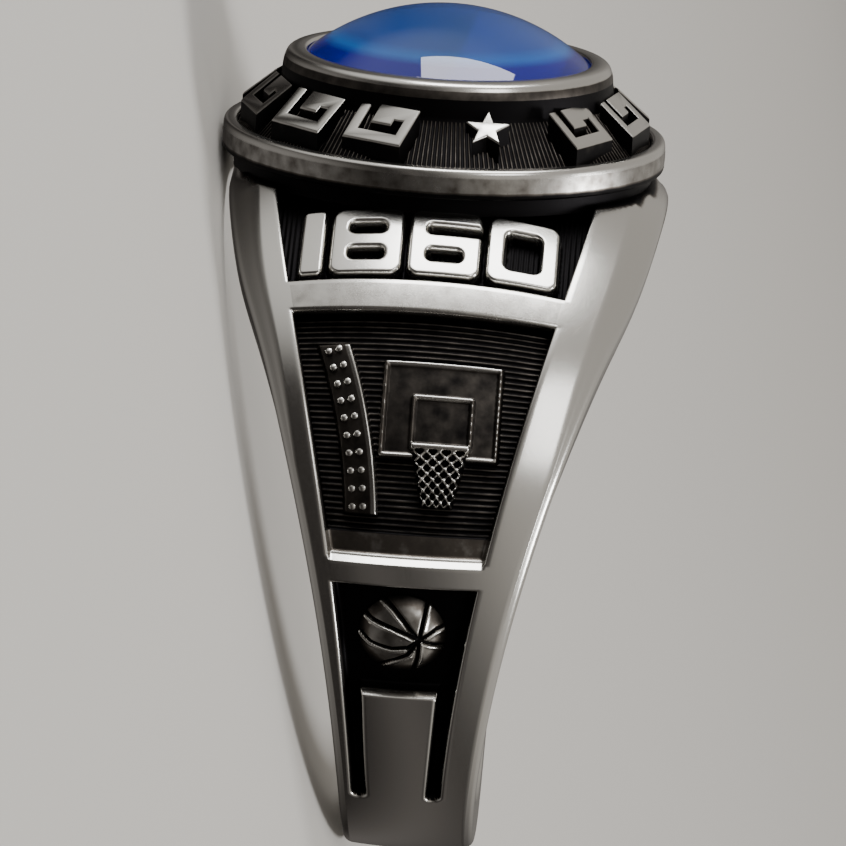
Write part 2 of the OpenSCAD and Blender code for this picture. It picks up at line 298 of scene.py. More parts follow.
@dataclass(frozen=True)
class CastMetal:
    """Cast white metal, blackened with a sulphide dip and then polished on its high places.

    The polish leaves a warm silver sheen with fine hair scratches, and the dip stays as a soft brown-black
    in every recess. A patina below zero is bare metal as cast, which only glows softly.
    """

    name: str = "Cast white metal, blackened and polished"
    polished: str = "#dcdad5"
    stained: str = "#69635d"
    blackened: str = "#161516"
    dip: tuple[float, float] = (0.2, 0.78)
    gloss: float = 0.2
    dull: float = 0.5
    as_cast: float = 0.4
    buffed: float = -0.05
    stain_mm: float = 0.5
    stain_share: float = 0.3
    scratch_mm: float = 0.05
    scratch_long: float = 14.0
    scratch_lays: tuple[tuple[float, Sequence[float]], ...] = ((0.4, (1, 14, 9)), (2.1, (13, 1, 10)))
    scratch_tilt: float = 0.6
    scratch_rub: float = 0.14
    scratch_depth_mm: float = 0.0014
    scratch_show: float = 0.35

    def scratches(self, tree: bpy.types.NodeTree, place: bpy.types.NodeSocket) -> bpy.types.NodeSocket:
        """Draws hair scratches in two lays.

        Args:
            tree: The node tree.
            place: Object coordinates.

        Returns:
            The scratches as a height from 0 to 1.
        """
        hairs = []
        for turn, stretch in self.scratch_lays:
            spread = [s / (self.scratch_long * self.scratch_mm * MM) for s in stretch]
            inputs = {"Vector": place, "Rotation": (turn, self.scratch_tilt, turn), "Scale": spread}
            laid = add_node(tree, "ShaderNodeMapping", inputs)
            inputs = {"Vector": laid.outputs[0], "Scale": 1.0, "Detail": 3.0}
            hair = add_node(tree, "ShaderNodeTexNoise", inputs)
            hairs.append(hair.outputs["Fac"])
        return add_node(tree, "ShaderNodeMath", {0: hairs[0], 1: hairs[1]}, operation="MINIMUM").outputs[0]

    def build(self) -> bpy.types.Material:
        """Builds the material.

        Returns:
            The material, which reads the patina attribute.
        """
        made = bpy.data.materials.new(self.name)
        tree = empty_tree(made)
        patina = add_node(tree, "ShaderNodeAttribute", attribute_name="patina").outputs["Fac"]
        place = add_node(tree, "ShaderNodeTexCoord").outputs["Object"]
        inputs = {"Vector": place, "Scale": 1 / (self.stain_mm * MM), "Detail": 4.0}
        cloud = add_node(tree, "ShaderNodeTexNoise", inputs).outputs["Fac"]
        inputs = {0: cloud, 1: self.stain_share, 2: -self.stain_share / 2}
        wander = add_node(tree, "ShaderNodeMath", inputs, operation="MULTIPLY_ADD").outputs[0]
        worn = add_node(tree, "ShaderNodeMath", {0: patina, 1: wander}, operation="ADD").outputs[0]
        inputs = {"Value": worn, "From Min": self.dip[0], "From Max": self.dip[1]}
        dip = add_node(tree, "ShaderNodeMapRange", inputs, interpolation_type="SMOOTHSTEP")
        dipped = dip.outputs["Result"]
        tint = add_node(tree, "ShaderNodeValToRGB", {"Fac": dipped})
        set_stops(tint.color_ramp, ((0.0, self.polished), (0.5, self.stained), (1.0, self.blackened)))
        grain = self.scratches(tree, place)
        inputs = {"Value": dipped, "To Min": self.gloss, "To Max": self.dull}
        rough = add_node(tree, "ShaderNodeMapRange", inputs).outputs["Result"]
        inputs = {0: grain, 1: self.scratch_rub, 2: rough}
        rubbed = add_node(tree, "ShaderNodeMath", inputs, operation="MULTIPLY_ADD").outputs[0]
        inputs = {"Value": patina, "From Min": -1.0, "From Max": 0.0}
        inputs |= {"To Min": self.as_cast, "To Max": self.buffed}
        matt = add_node(tree, "ShaderNodeMapRange", inputs).outputs["Result"]
        lifted = add_node(tree, "ShaderNodeMath", {0: rubbed, 1: matt}, operation="ADD").outputs[0]
        inputs = {"Strength": self.scratch_show, "Distance": self.scratch_depth_mm * MM, "Height": grain}
        bump = add_node(tree, "ShaderNodeBump", inputs).outputs["Normal"]
        inputs = {"Base Color": tint.outputs["Color"], "Metallic": 1.0, "Roughness": lifted, "Normal": bump}
        shader = add_node(tree, "ShaderNodeBsdfPrincipled", inputs)
        add_node(tree, "ShaderNodeOutputMaterial", {"Surface": shader.outputs[0]})
        return made


@dataclass(frozen=True)
class BlueSpinel:
    """Synthetic spinel, polished as a cabochon.

    It is clear and deep blue. Its colour paints the light in it: a paler oval with an azure edge in the
    middle, where the flat of its back shows through the dome, and a darker indigo shade at the bevelled
    rim. A faint cloud in the glass keeps the blue even.
    """

    name: str = "Blue synthetic spinel, polished"
    # Painted light and shade by share outward: a paler middle, an azure edge round it, then darker indigo.
    painted_light_zones: tuple[tuple[float, str], ...] = ((0.68, "#4174c4"), (0.76, "#2f98f4"), (0.82, "#1c25b4"))
    depth: str = "#2f86ea"
    density: float = 200.0
    clear: float = 0.72
    rough: float = 0.015
    ior: float = 1.72

    def build(self) -> bpy.types.Material:
        """Builds the material.

        Returns:
            A clear shader with a blue body colour, which reads the share outward from the patina attribute
            and paints light and shade across the stone by it.
        """
        made = bpy.data.materials.new(self.name)
        tree = empty_tree(made)
        outward = add_node(tree, "ShaderNodeAttribute", attribute_name="patina")
        # The ramp paints the stone's light and shade: paler in the middle, azure round it, darker indigo at
        # the rim.
        tint = add_node(tree, "ShaderNodeValToRGB", {"Fac": outward.outputs["Fac"]})
        set_stops(tint.color_ramp, self.painted_light_zones)
        inputs = {"Base Color": tint.outputs["Color"], "Roughness": self.rough, "IOR": self.ior}
        shader = add_node(tree, "ShaderNodeBsdfPrincipled", inputs | {"Transmission Weight": self.clear})
        inputs = {"Color": linear(self.depth), "Density": self.density}
        body = add_node(tree, "ShaderNodeVolumeAbsorption", inputs)
        add_node(tree, "ShaderNodeOutputMaterial", {"Surface": shader.outputs[0], "Volume": body.outputs[0]})
        return made


@dataclass(frozen=True)
class PaleFloor:
    """Matt painted board, which gives a soft even ground."""

    name: str = "Pale matt board"
    colour: str = "#cbc8c3"
    rough: float = 0.9

    def build(self) -> bpy.types.Material:
        """Builds the material.

        Returns:
            The material.
        """
        made = bpy.data.materials.new(self.name)
        tree = empty_tree(made)
        inputs = {"Base Color": linear(self.colour), "Roughness": self.rough}
        shader = add_node(tree, "ShaderNodeBsdfPrincipled", inputs)
        add_node(tree, "ShaderNodeOutputMaterial", {"Surface": shader.outputs[0]})
        return made


def rows_along_path() -> bpy.types.NodeTree:
    """Builds the tree that sets pieces at even steps along a path.

    Returns:
        A Geometry Nodes tree, whose pieces keep their X along the path and their Z up.
    """
    tree = bpy.data.node_groups.new("Pieces along a path", "GeometryNodeTree")
    for name, way, kind in (
        ("Path", "INPUT", "Geometry"),
        ("Count", "INPUT", "Int"),
        ("Piece", "INPUT", "Object"),
        ("Material", "INPUT", "Material"),
        ("Pieces", "OUTPUT", "Geometry"),
    ):
        tree.interface.new_socket(name=name, in_out=way, socket_type=f"NodeSocket{kind}")
    given = add_node(tree, "NodeGroupInput").outputs
    curve = add_node(tree, "GeometryNodeMeshToCurve", {"Mesh": given["Path"]})
    even = add_node(tree, "GeometryNodeResampleCurve", {"Curve": curve.outputs[0], "Count": given["Count"]})
    tangent = add_node(tree, "GeometryNodeInputTangent")
    inputs = {"Vector": tangent.outputs[0]}
    turned = add_node(tree, "FunctionNodeAlignEulerToVector", inputs, axis="X", pivot_axis="Z")
    piece = add_node(tree, "GeometryNodeObjectInfo", {"Object": given["Piece"]})
    inputs = {"Points": even.outputs[0], "Instance": piece.outputs["Geometry"]}
    placed = add_node(tree, "GeometryNodeInstanceOnPoints", inputs | {"Rotation": turned.outputs[0]})
    real = add_node(tree, "GeometryNodeRealizeInstances", {"Geometry": placed.outputs[0]})
    inputs = {"Geometry": real.outputs[0], "Material": given["Material"]}
    coated = add_node(tree, "GeometryNodeSetMaterial", inputs)
    add_node(tree, "NodeGroupOutput", {"Pieces": coated.outputs[0]})
    return tree


@dataclass
class PathRow:
    """Pieces set at even steps along a path, by Geometry Nodes."""

    tree: bpy.types.NodeTree
    material: bpy.types.Material

    def build(self, name: str, path: Array, closed: bool, count: int, piece: bpy.types.Object) -> Solid:
        """Sets the pieces and reads the result back.

        Args:
            name: A name for the scratch object.
            path: Points of the path.
            closed: Whether the path is a loop; an open one has a piece at each end.
            count: Number of pieces.
            piece: The piece that is repeated, which is used up.

        Returns:
            The points, the faces and the patina of the realized pieces.
        """
        mesh = bpy.data.meshes.new(name)
        last = len(path) if closed else len(path) - 1
        mesh.from_pydata(path.tolist(), [(i, (i + 1) % len(path)) for i in range(last)], [])
        carrier = add_object(name, mesh)
        modifier = carrier.modifiers.new("Pieces", "NODES")
        modifier.node_group = self.tree
        wanted = {"Count": count, "Piece": piece, "Material": self.material}
        for socket in self.tree.interface.items_tree:
            if socket.in_out == "INPUT" and socket.name in wanted:
                modifier[socket.identifier] = wanted[socket.name]
        graph = bpy.context.evaluated_depsgraph_get()
        made = bpy.data.meshes.new_from_object(
            carrier.evaluated_get(graph), preserve_all_data_layers=True, depsgraph=graph
        )
        points = np.empty(len(made.vertices) * 3)
        made.vertices.foreach_get("co", points)
        faces = [list(p.vertices) for p in made.polygons]
        patina = np.zeros(len(made.vertices), np.float32)
        made.attributes["patina"].data.foreach_get("value", patina)
        carrier.modifiers.clear()
        bpy.data.objects.remove(carrier)
        bpy.data.objects.remove(piece)
        return points.reshape(-1, 3), faces, patina


# Share of the bevel inwards, bevels below the top, and patina of each step up a block's wall.
BLOCK_WALL = ((0, 1.6, 0.75), (0, 1.0, 0.35), (0.35, 0.3, 0.0), (1, 0, 0.0))
SHARPEST_CORNER = 0.3


def prism(outline: Array, low: float, high: Callable[[Array], Array], bevel: float) -> Solid:
    """Raises an outline to a top that may slope, with a bevelled edge.

    Args:
        outline: Corners of a star-shaped or convex outline, in order.
        low: Height of the foot.
        high: Gives the top's height at a place.
        bevel: Width of the bevel.

    Returns:
        Points, faces and patina.
    """
    n = len(outline)
    before, after = np.roll(outline, 1, 0) - outline, np.roll(outline, -1, 0) - outline
    before /= np.linalg.norm(before, axis=1)[:, None]
    after /= np.linalg.norm(after, axis=1)[:, None]
    area = np.sum(outline[:, 0] * np.roll(outline[:, 1], -1) - np.roll(outline[:, 0], -1) * outline[:, 1])
    side = np.stack([-after[:, 1], after[:, 0]], 1) * np.sign(area)
    other = np.stack([before[:, 1], -before[:, 0]], 1) * np.sign(area)
    half = side + other
    half /= np.maximum(np.sum(half * side, 1), SHARPEST_CORNER)[:, None]
    rings, patina = [np.column_stack([outline, np.full(n, low)])], [np.ones(n)]
    for inset, drop, black in BLOCK_WALL:
        flat = outline + half * inset * bevel
        rings.append(np.column_stack([flat, high(flat) - drop * bevel]))
        patina.append(np.full(n, black))
    return np.concatenate(rings), body_faces(len(rings), n), np.concatenate(patina)


@dataclass
class Shank:
    """The band with its two shoulders, whose panels are sunk, blackened and full of relief.

    Places down a shoulder are in degrees from the crown, and all other sizes are in mm.
    """

    place: RingFrame
    bore_r: float = 10.1
    bore_soft: float = 0.18
    bore_cols: int = 11
    outer_r: float = 12.2
    lift: float = 0.45
    face_r: float = 16.0
    top_u: float = 10.88
    waist_u: float = -10.7
    palm_half: float = 2.12
    shoulder_half: float = 7.05
    shoulder_swell: float = 0.14
    swell_u: float = 8.9
    swell_reach: float = 1.5
    shift: float = 0.33
    panel_low_half: float = 1.34
    panel_top_half: float = 5.05
    panel_depth: float = 0.65
    floor_gap: float = 0.06
    step_depth: float = 0.35
    step_inset: float = 0.3
    picture_soft: float = 0.13
    tongue_half: float = 1.18
    tongue_low_half: float = 0.95
    year_foot: float = 44.6
    upper_bar_foot: float = 50.0
    step_head: float = 83.8
    step_foot: float = 87.3
    lower_bar_foot: float = 91.6
    tongue_top: float = 109.4
    channel_foot: float = 132.9
    facet_w: float = 0.62
    facet_foot_u: float = 3.6
    facet_slope: float = 0.5
    edge_r: float = 0.24
    year_edge: tuple[float, float] = (0.17, 0.12)
    lower_bar_edge: tuple[float, float] = (0.2, 1.13)
    tongue_edge_fall: tuple[float, float] = (0.08, 2.8)
    panel_black: tuple[float, float] = (0.12, 0.42)
    end_black: tuple[float, float] = (0.01, 0.1)
    bar_black: tuple[float, float] = (0.13, 0.2)
    crown_shadow: float = 0.12
    shelf_patina: float = 0.5
    bar_patina: float = 0.34
    coarse_step: float = 0.13
    fine_step: float = 0.03
    border_reach: float = 0.21
    tongue_cuts: tuple[float, ...] = (-0.16, -0.1, -0.06, -0.03, 0, 0.03, 0.06, 0.1, 0.15)
    panel_cuts: tuple[float, ...] = (-0.2, -0.15, -0.1, -0.05, -0.02, 0.02, 0.05, 0.1)
    border_cuts: tuple[float, ...] = (0.12, 0.25, 0.4, 0.55, 0.7, 0.85, 1.0)
    edge_turns: tuple[float, ...] = (0, 22, 45, 68, 90)
    flank_cuts: tuple[float, ...] = (0.3, 0.65, 1)
    flank_turns: tuple[float, ...] = (30, 60, 90)

    def run(self, degrees: float) -> float:
        """Returns the length along the outer face that an angle from the crown takes."""
        return math.radians(degrees) * self.outer_r

    def polar(self, x: Array, rho: Array, turn: Array, side: Side) -> Array:
        """Finds a point by its angle round the band.

        Args:
            x: Place along the finger, seen from the shoulder's own front.
            rho: Distance from the outer face's axis.
            turn: Angle from the crown, in radians.
            side: Which shoulder.

        Returns:
            The point in the ring's frame.
        """
        y = -rho * np.sin(turn) * side.value
        return np.stack(np.broadcast_arrays(x * side.value, y, self.lift + rho * np.cos(turn)), -1)

    def face_point(self, s: Array, x: Array, depth: Array, side: Side = Side.NEAR) -> Array:
        """Finds a point under the domed face.

        Args:
            s: Length along the outer face, from the crown.
            x: Place along the finger, seen from the shoulder's own front.
            depth: Depth below the face.
            side: Which shoulder.

        Returns:
            The point in the ring's frame.
        """
        rho = self.outer_r - self.face_r + np.sqrt((self.face_r - depth) ** 2 - np.asarray(x) ** 2)
        return self.polar(np.asarray(x), rho, np.asarray(s) / self.outer_r, side)

    def flare(self, low: float, top: float, u: Array) -> Array:
        """Gives the half width of an outline that opens upwards along an arc.

        Args:
            low: Half width at the waist.
            top: Half width at the crown.
            u: Height above the finger hole's middle.

        Returns:
            Half widths.
        """
        out, up = top - low, self.top_u - self.waist_u
        radius = (out * out + up * up) / (2 * out)
        return low + radius - np.sqrt(radius**2 - (np.minimum(u, self.top_u) - self.waist_u) ** 2)

    def panel_half(self, s: Array) -> Array:
        """Gives the sunk panels' half width.

        Args:
            s: Length along the face.

        Returns:
            Half widths, found from a first guess in a few steps.
        """
        x = np.full_like(np.asarray(s, float), 3.0)
        for _ in range(5):
            x = self.flare(self.panel_low_half, self.panel_top_half, self.face_point(s, x, 0.0)[..., 2])
        return x

    def body_half(self, s: Array, sign: float) -> Array:
        """Gives the distance from the middle to the band's edge.

        Args:
            s: Length along the face.
            sign: To which side, 1 or -1.

        Returns:
            Distances, found from a first guess in a few steps.
        """
        x = np.full_like(np.asarray(s, float), 5.0)
        for _ in range(6):
            u = self.face_point(s, x, 0.0)[..., 2]
            swell = self.shoulder_swell * np.exp(-(((u - self.swell_u) / self.swell_reach) ** 2))
            x = self.flare(self.palm_half, self.shoulder_half, u) + swell + sign * self.shift
        return x

    def tongue_edge(self, s: Array) -> Array:
        """Gives the tongue's half width, carried on up the panels as a share of their width.

        Args:
            s: Length along the face.

        Returns:
            Half widths.
        """
        top, end, least = self.run(self.tongue_top), self.run(self.channel_foot), 0.8 * self.tongue_low_half
        u, head, foot = (self.face_point(at, 0.0, 0.0)[..., 2] for at in (s, top, end))
        straight = self.tongue_half + (self.tongue_low_half - self.tongue_half) * (head - u) / (head - foot)
        share = self.tongue_half / float(self.panel_half(top))
        return np.where(u > head, share * self.panel_half(s), np.maximum(straight, least))

    @staticmethod
    def sunk(
        inside: Array, depth: float, bevel: float = 0.1, wall: float = 0.05, fillet: float = 0.1
    ) -> Array:
        """Gives the depth of a pocket at a distance inside its outline.

        Args:
            inside: Distance inside the outline, negative outside it.
            depth: Depth of the floor.
            bevel: Width of the rounded upper edge.
            wall: Width that the steep wall takes.
            fillet: Radius at the floor.

        Returns:
            Depths.
        """
        t = inside + bevel
        worn = bevel * (1 - np.sqrt(np.clip(1 - np.clip(t / bevel, 0, 1) ** 2, 0, 1)))
        steep = bevel + (depth - fillet - bevel) * np.clip((t - bevel) / wall, 0, 1)
        q = np.clip((t - bevel - wall) / fillet, 0, 1)
        low = depth - fillet + fillet * np.sqrt(1 - (1 - q) ** 2)
        return np.where(t < 0, 0, np.where(t < bevel, worn, np.where(t < bevel + wall, steep, low)))

    def pockets(self, s: Array, x: Array) -> Array:
        """Gives the depth of the sunk panels.

        Args:
            s: Length along the face.
            x: Place along the finger.

        Returns:
            Depths below the face.
        """
        run, half, tongue = self.run, self.panel_half(s), self.tongue_edge(s)
        floor = self.panel_depth + self.floor_gap
        side, below = half - np.abs(x), s - run(self.upper_bar_foot)
        year = np.minimum(side, run(self.year_foot) - s)
        picture = np.minimum(side, np.minimum(below, run(self.step_head) - s))
        step = np.minimum(side, np.minimum(below - self.step_inset, run(self.step_foot) - s))
        ball = np.minimum(side, s - run(self.lower_bar_foot))
        ball = np.minimum(ball, np.maximum(run(self.tongue_top) - s, np.abs(x) - tongue))
        middle, reach = (half + tongue) / 2, (half - tongue) / 2
        past = s - run(self.channel_foot) + reach
        round_end = reach - np.hypot(np.abs(x) - middle, np.maximum(past, 0))
        ball = np.where(past > 0, round_end, ball)
        sunk = (
            self.sunk(year, floor),
            self.sunk(picture, floor, bevel=self.picture_soft),
            self.sunk(step, self.step_depth, bevel=self.picture_soft),
            self.sunk(ball, self.panel_depth),
        )
        return np.maximum.reduce(sunk)

    def polished_edges(self, s: Array, x: Array) -> Array:
        """Gives the flats that the polishing wheel leaves along the upper edges of the bars and the tongue.

        Args:
            s: Length along the face.
            x: Place along the finger.

        Returns:
            Depths below the face.
        """
        above, blend = 0.25, 0.03
        fall = np.zeros(np.shape(s))
        for at, half, (width, slope) in (
            (self.year_foot, self.panel_half(s), self.year_edge),
            (self.step_foot, self.panel_half(s), self.lower_bar_edge),
            (self.tongue_top, self.tongue_edge(s), self.tongue_edge_fall),
        ):
            past = s - self.run(at)
            here = np.where(past > -above, slope * np.clip(width - np.maximum(past, 0), 0, width), 0)
            fall = np.maximum(fall, here * np.clip((half + blend - np.abs(x)) / (2 * blend), 0, 1))
        return fall

    def blackening(self, s: Array, x: Array, carved: Array, panel: Array, height: Array) -> Array:
        """Gives how black the face is: in the panels, on the step and the bar, and under the crown, where
        the blackening of the undercut also carries a painted shadow of the crown.

        Args:
            s: Length along the face.
            x: Place along the finger.
            carved: Depth of the sunk panels.
            panel: The panels' half width.
            height: Height above the finger hole's middle.

        Returns:
            Patina.
        """
        run = self.run
        ends = smooth(*self.end_black, carved) * (s > run(self.channel_foot) - 0.5)
        black = np.maximum(smooth(*self.panel_black, carved), ends)
        shelf = (s > run(self.step_head)) & (s < run(self.step_foot)) & (carved < self.step_depth + 0.01)
        black = np.where(shelf, np.minimum(black, self.shelf_patina), black)
        bar = smooth(*self.bar_black, s - run(self.year_foot)) * (s < run(self.upper_bar_foot))
        bar = bar * (np.abs(x) < panel)
        # Painted shadow of the crown, with the undercut's blackening: the face darkens over its last height
        # under the crown.
        crown_shade = smooth(self.top_u - self.crown_shadow, self.top_u, height)
        return np.maximum(np.maximum(black, self.bar_patina * bar), crown_shade)

    def stations(self) -> Array:
        """Cuts one shoulder along its length, closer together at each border.

        Returns:
            Lengths along the face.
        """
        marks = (self.year_foot, self.upper_bar_foot, self.step_head, self.step_foot, self.lower_bar_foot)
        marks += (self.tongue_top, self.channel_foot)
        reach = np.arange(-self.border_reach, self.border_reach + self.fine_step / 2, self.fine_step)
        even = np.arange(self.coarse_step / 2, math.pi * self.outer_r, self.coarse_step)
        every = np.unique(np.round(np.concatenate([even, *(reach + self.run(m) for m in marks)]), 4))
        return every[np.concatenate([[True], np.diff(every) > 0.4 * self.fine_step])]

    def half_columns(self, edge: Array, panel: Array, tongue: Array, facet: Array) -> Array:
        """Lays the section's points from its middle to one edge.

        Args:
            edge: Distance to the band's edge.
            panel: The panel's half width.
            tongue: The tongue's half width.
            facet: Width of the facet along the edge.

        Returns:
            A row of places for each station.
        """
        first, last = self.tongue_cuts[0], self.panel_cuts[-1]
        inner, outer = panel + last, edge - (self.edge_r + facet)
        lines = [k / 6 * (tongue + first) for k in range(6)]
        lines += [tongue + d for d in self.tongue_cuts]
        lines += [(tongue + panel - 0.05) / 2]
        lines += [panel + d for d in self.panel_cuts]
        lines += [inner + k * (outer - inner) for k in self.border_cuts]
        lines += [edge - self.edge_r - 0.5 * facet]
        lines += [edge - self.edge_r * (1 - math.sin(math.radians(a))) for a in self.edge_turns]
        return np.stack(lines, -1)

    def edge_drop(self, inward: Array, facet: Array) -> Array:
        """Gives how far the face falls towards its edge.

        Args:
            inward: Distance from the edge.
            facet: Width of the facet.

        Returns:
            Depths below the face.
        """
        flat = self.facet_slope * np.clip(facet + self.edge_r - inward, 0, facet)
        t = np.clip(1 - inward / self.edge_r, 0, 1)
        return flat + self.edge_r * (1 - np.sqrt(np.clip(1 - t * t, 0, 1)))

    def flank(self, edge: Array, facet: Array, hole: Array) -> list[tuple[Array, Array]]:
        """Lays one flank's points, from the face down to the rounded edge of the finger hole.

        Args:
            edge: Distance from the middle to the band's edge.
            facet: Width of the facet along the edge.
            hole: Distance from the outer face's axis to the finger hole.

        Returns:
            Distances from the middle and from the axis.
        """
        soft = self.bore_soft
        face = self.outer_r - self.face_r + np.sqrt(self.face_r**2 - edge**2)
        face = face - self.edge_r - self.facet_slope * facet
        rows = [(edge, face + (hole + soft - face) * share) for share in self.flank_cuts]
        for t in map(math.radians, self.flank_turns):
            rows.append((edge - soft * (1 - math.cos(t)), hole + soft * (1 - math.sin(t))))
        return rows

    def shoulder(self, side: Side) -> tuple[Array, Array]:
        """Lays out the sections of one half of the band.

        Args:
            side: Which half.

        Returns:
            Points by station and column, and their patina.
        """
        s = self.stations()
        panel, tongue = self.panel_half(s), self.tongue_edge(s)
        u = self.face_point(s, panel, 0.0)[:, 2]
        facet = self.facet_w * np.clip((u - self.facet_foot_u) / (self.top_u - self.facet_foot_u), 0.02, 1)
        right, left = (self.body_half(s, sign * side.value) for sign in (1, -1))
        x_right, x_left = (self.half_columns(edge, panel, tongue, facet) for edge in (right, left))
        x = np.concatenate([-x_left[:, :0:-1], x_right], 1)
        ss = np.broadcast_to(s[:, None], x.shape)
        inward = np.where(x > 0, right[:, None] - x, left[:, None] + x)
        carved = self.pockets(ss, x)
        depth = np.maximum(carved, self.polished_edges(ss, x)) + self.edge_drop(inward, facet[:, None])
        skin = self.face_point(ss, x, depth, side)
        black = self.blackening(ss, x, carved, panel[:, None], skin[..., 2])
        turn = s / self.outer_r
        hole = np.sqrt(self.bore_r**2 - (self.lift * np.sin(turn)) ** 2) - self.lift * np.cos(turn)
        flanks = []
        for edge, sign in ((right, 1), (left, -1)):
            rows = [self.polar(sign * out, rho, turn, side) for out, rho in self.flank(edge, facet, hole)]
            flanks.append(np.stack(rows, 1))
        shares = np.linspace(0, 1, self.bore_cols + 2)[1:-1]
        across = (right - self.bore_soft)[:, None] * (1 - shares) - (left - self.bore_soft)[:, None] * shares
        for part in (skin, *flanks):
            part[..., 2] = np.minimum(part[..., 2], self.top_u)
        bore = self.polar(across, hole[:, None], turn[:, None], side)
        points = np.concatenate([skin, flanks[0], bore, flanks[1][:, ::-1]], 1)
        plain = np.zeros((len(s), points.shape[1] - skin.shape[1]))
        return points, np.concatenate([black, plain], 1)

    def build(self) -> bpy.types.Object:
        """Makes the band as one closed skin.

        Returns:
            The band.
        """
        near, near_black = self.shoulder(Side.NEAR)
        far, far_black = self.shoulder(Side.FAR)
        cols = near.shape[1]
        skin_cols = cols - self.bore_cols - 2 * (len(self.flank_cuts) + len(self.flank_turns))
        order = np.concatenate([np.arange(skin_cols)[::-1], np.arange(skin_cols, cols)[::-1]])
        points = np.concatenate([near, far[::-1][:, order]])
        patina = np.concatenate([near_black, far_black[::-1][:, order]])
        faces = body_faces(len(points), cols, loop=True)
        return make_piece("shank_skin", (self.place.to_row(points), faces, patina), crease=75)


def box_distance(x: Array, y: Array, centre: Sequence[float], half: Sequence[float], corner: float) -> Array:
    """Gives the distance to a rectangle with rounded corners.

    Args:
        x: Places across.
        y: Places along.
        centre: The rectangle's middle.
        half: Its half width and half height.
        corner: Its corner radius.

    Returns:
        Distances, negative inside.
    """
    dx = np.abs(x - centre[0]) - half[0] + corner
    dy = np.abs(y - centre[1]) - half[1] + corner
    return np.hypot(np.maximum(dx, 0), np.maximum(dy, 0)) + np.minimum(np.maximum(dx, dy), 0) - corner


def raised(distance: Array, height: float, edge: float = 0.1) -> Array:
    """Gives the height of a block with a soft edge, as a casting has.

    Args:
        distance: Distance to the block's outline, negative inside.
        height: The block's height.
        edge: Width of the soft edge.

    Returns:
        Heights.
    """
    t = np.clip(-distance / edge, 0, 1)
    return height * np.sqrt(1 - (1 - t) ** 2)


def overlay(under: tuple[Array, Array], shape: Array, rise: Array, black: Array) -> tuple[Array, Array]:
    """Raises one part of a relief over what lies under it.

    Args:
        under: Height and patina so far.
        shape: Distance to the part's outline, negative inside.
        rise: The part's height.
        black: The part's patina.

    Returns:
        The new height and patina.
    """
    height, tone = under
    return np.where(shape < 0, np.maximum(height, rise), height), np.where(shape < 0, black, tone)


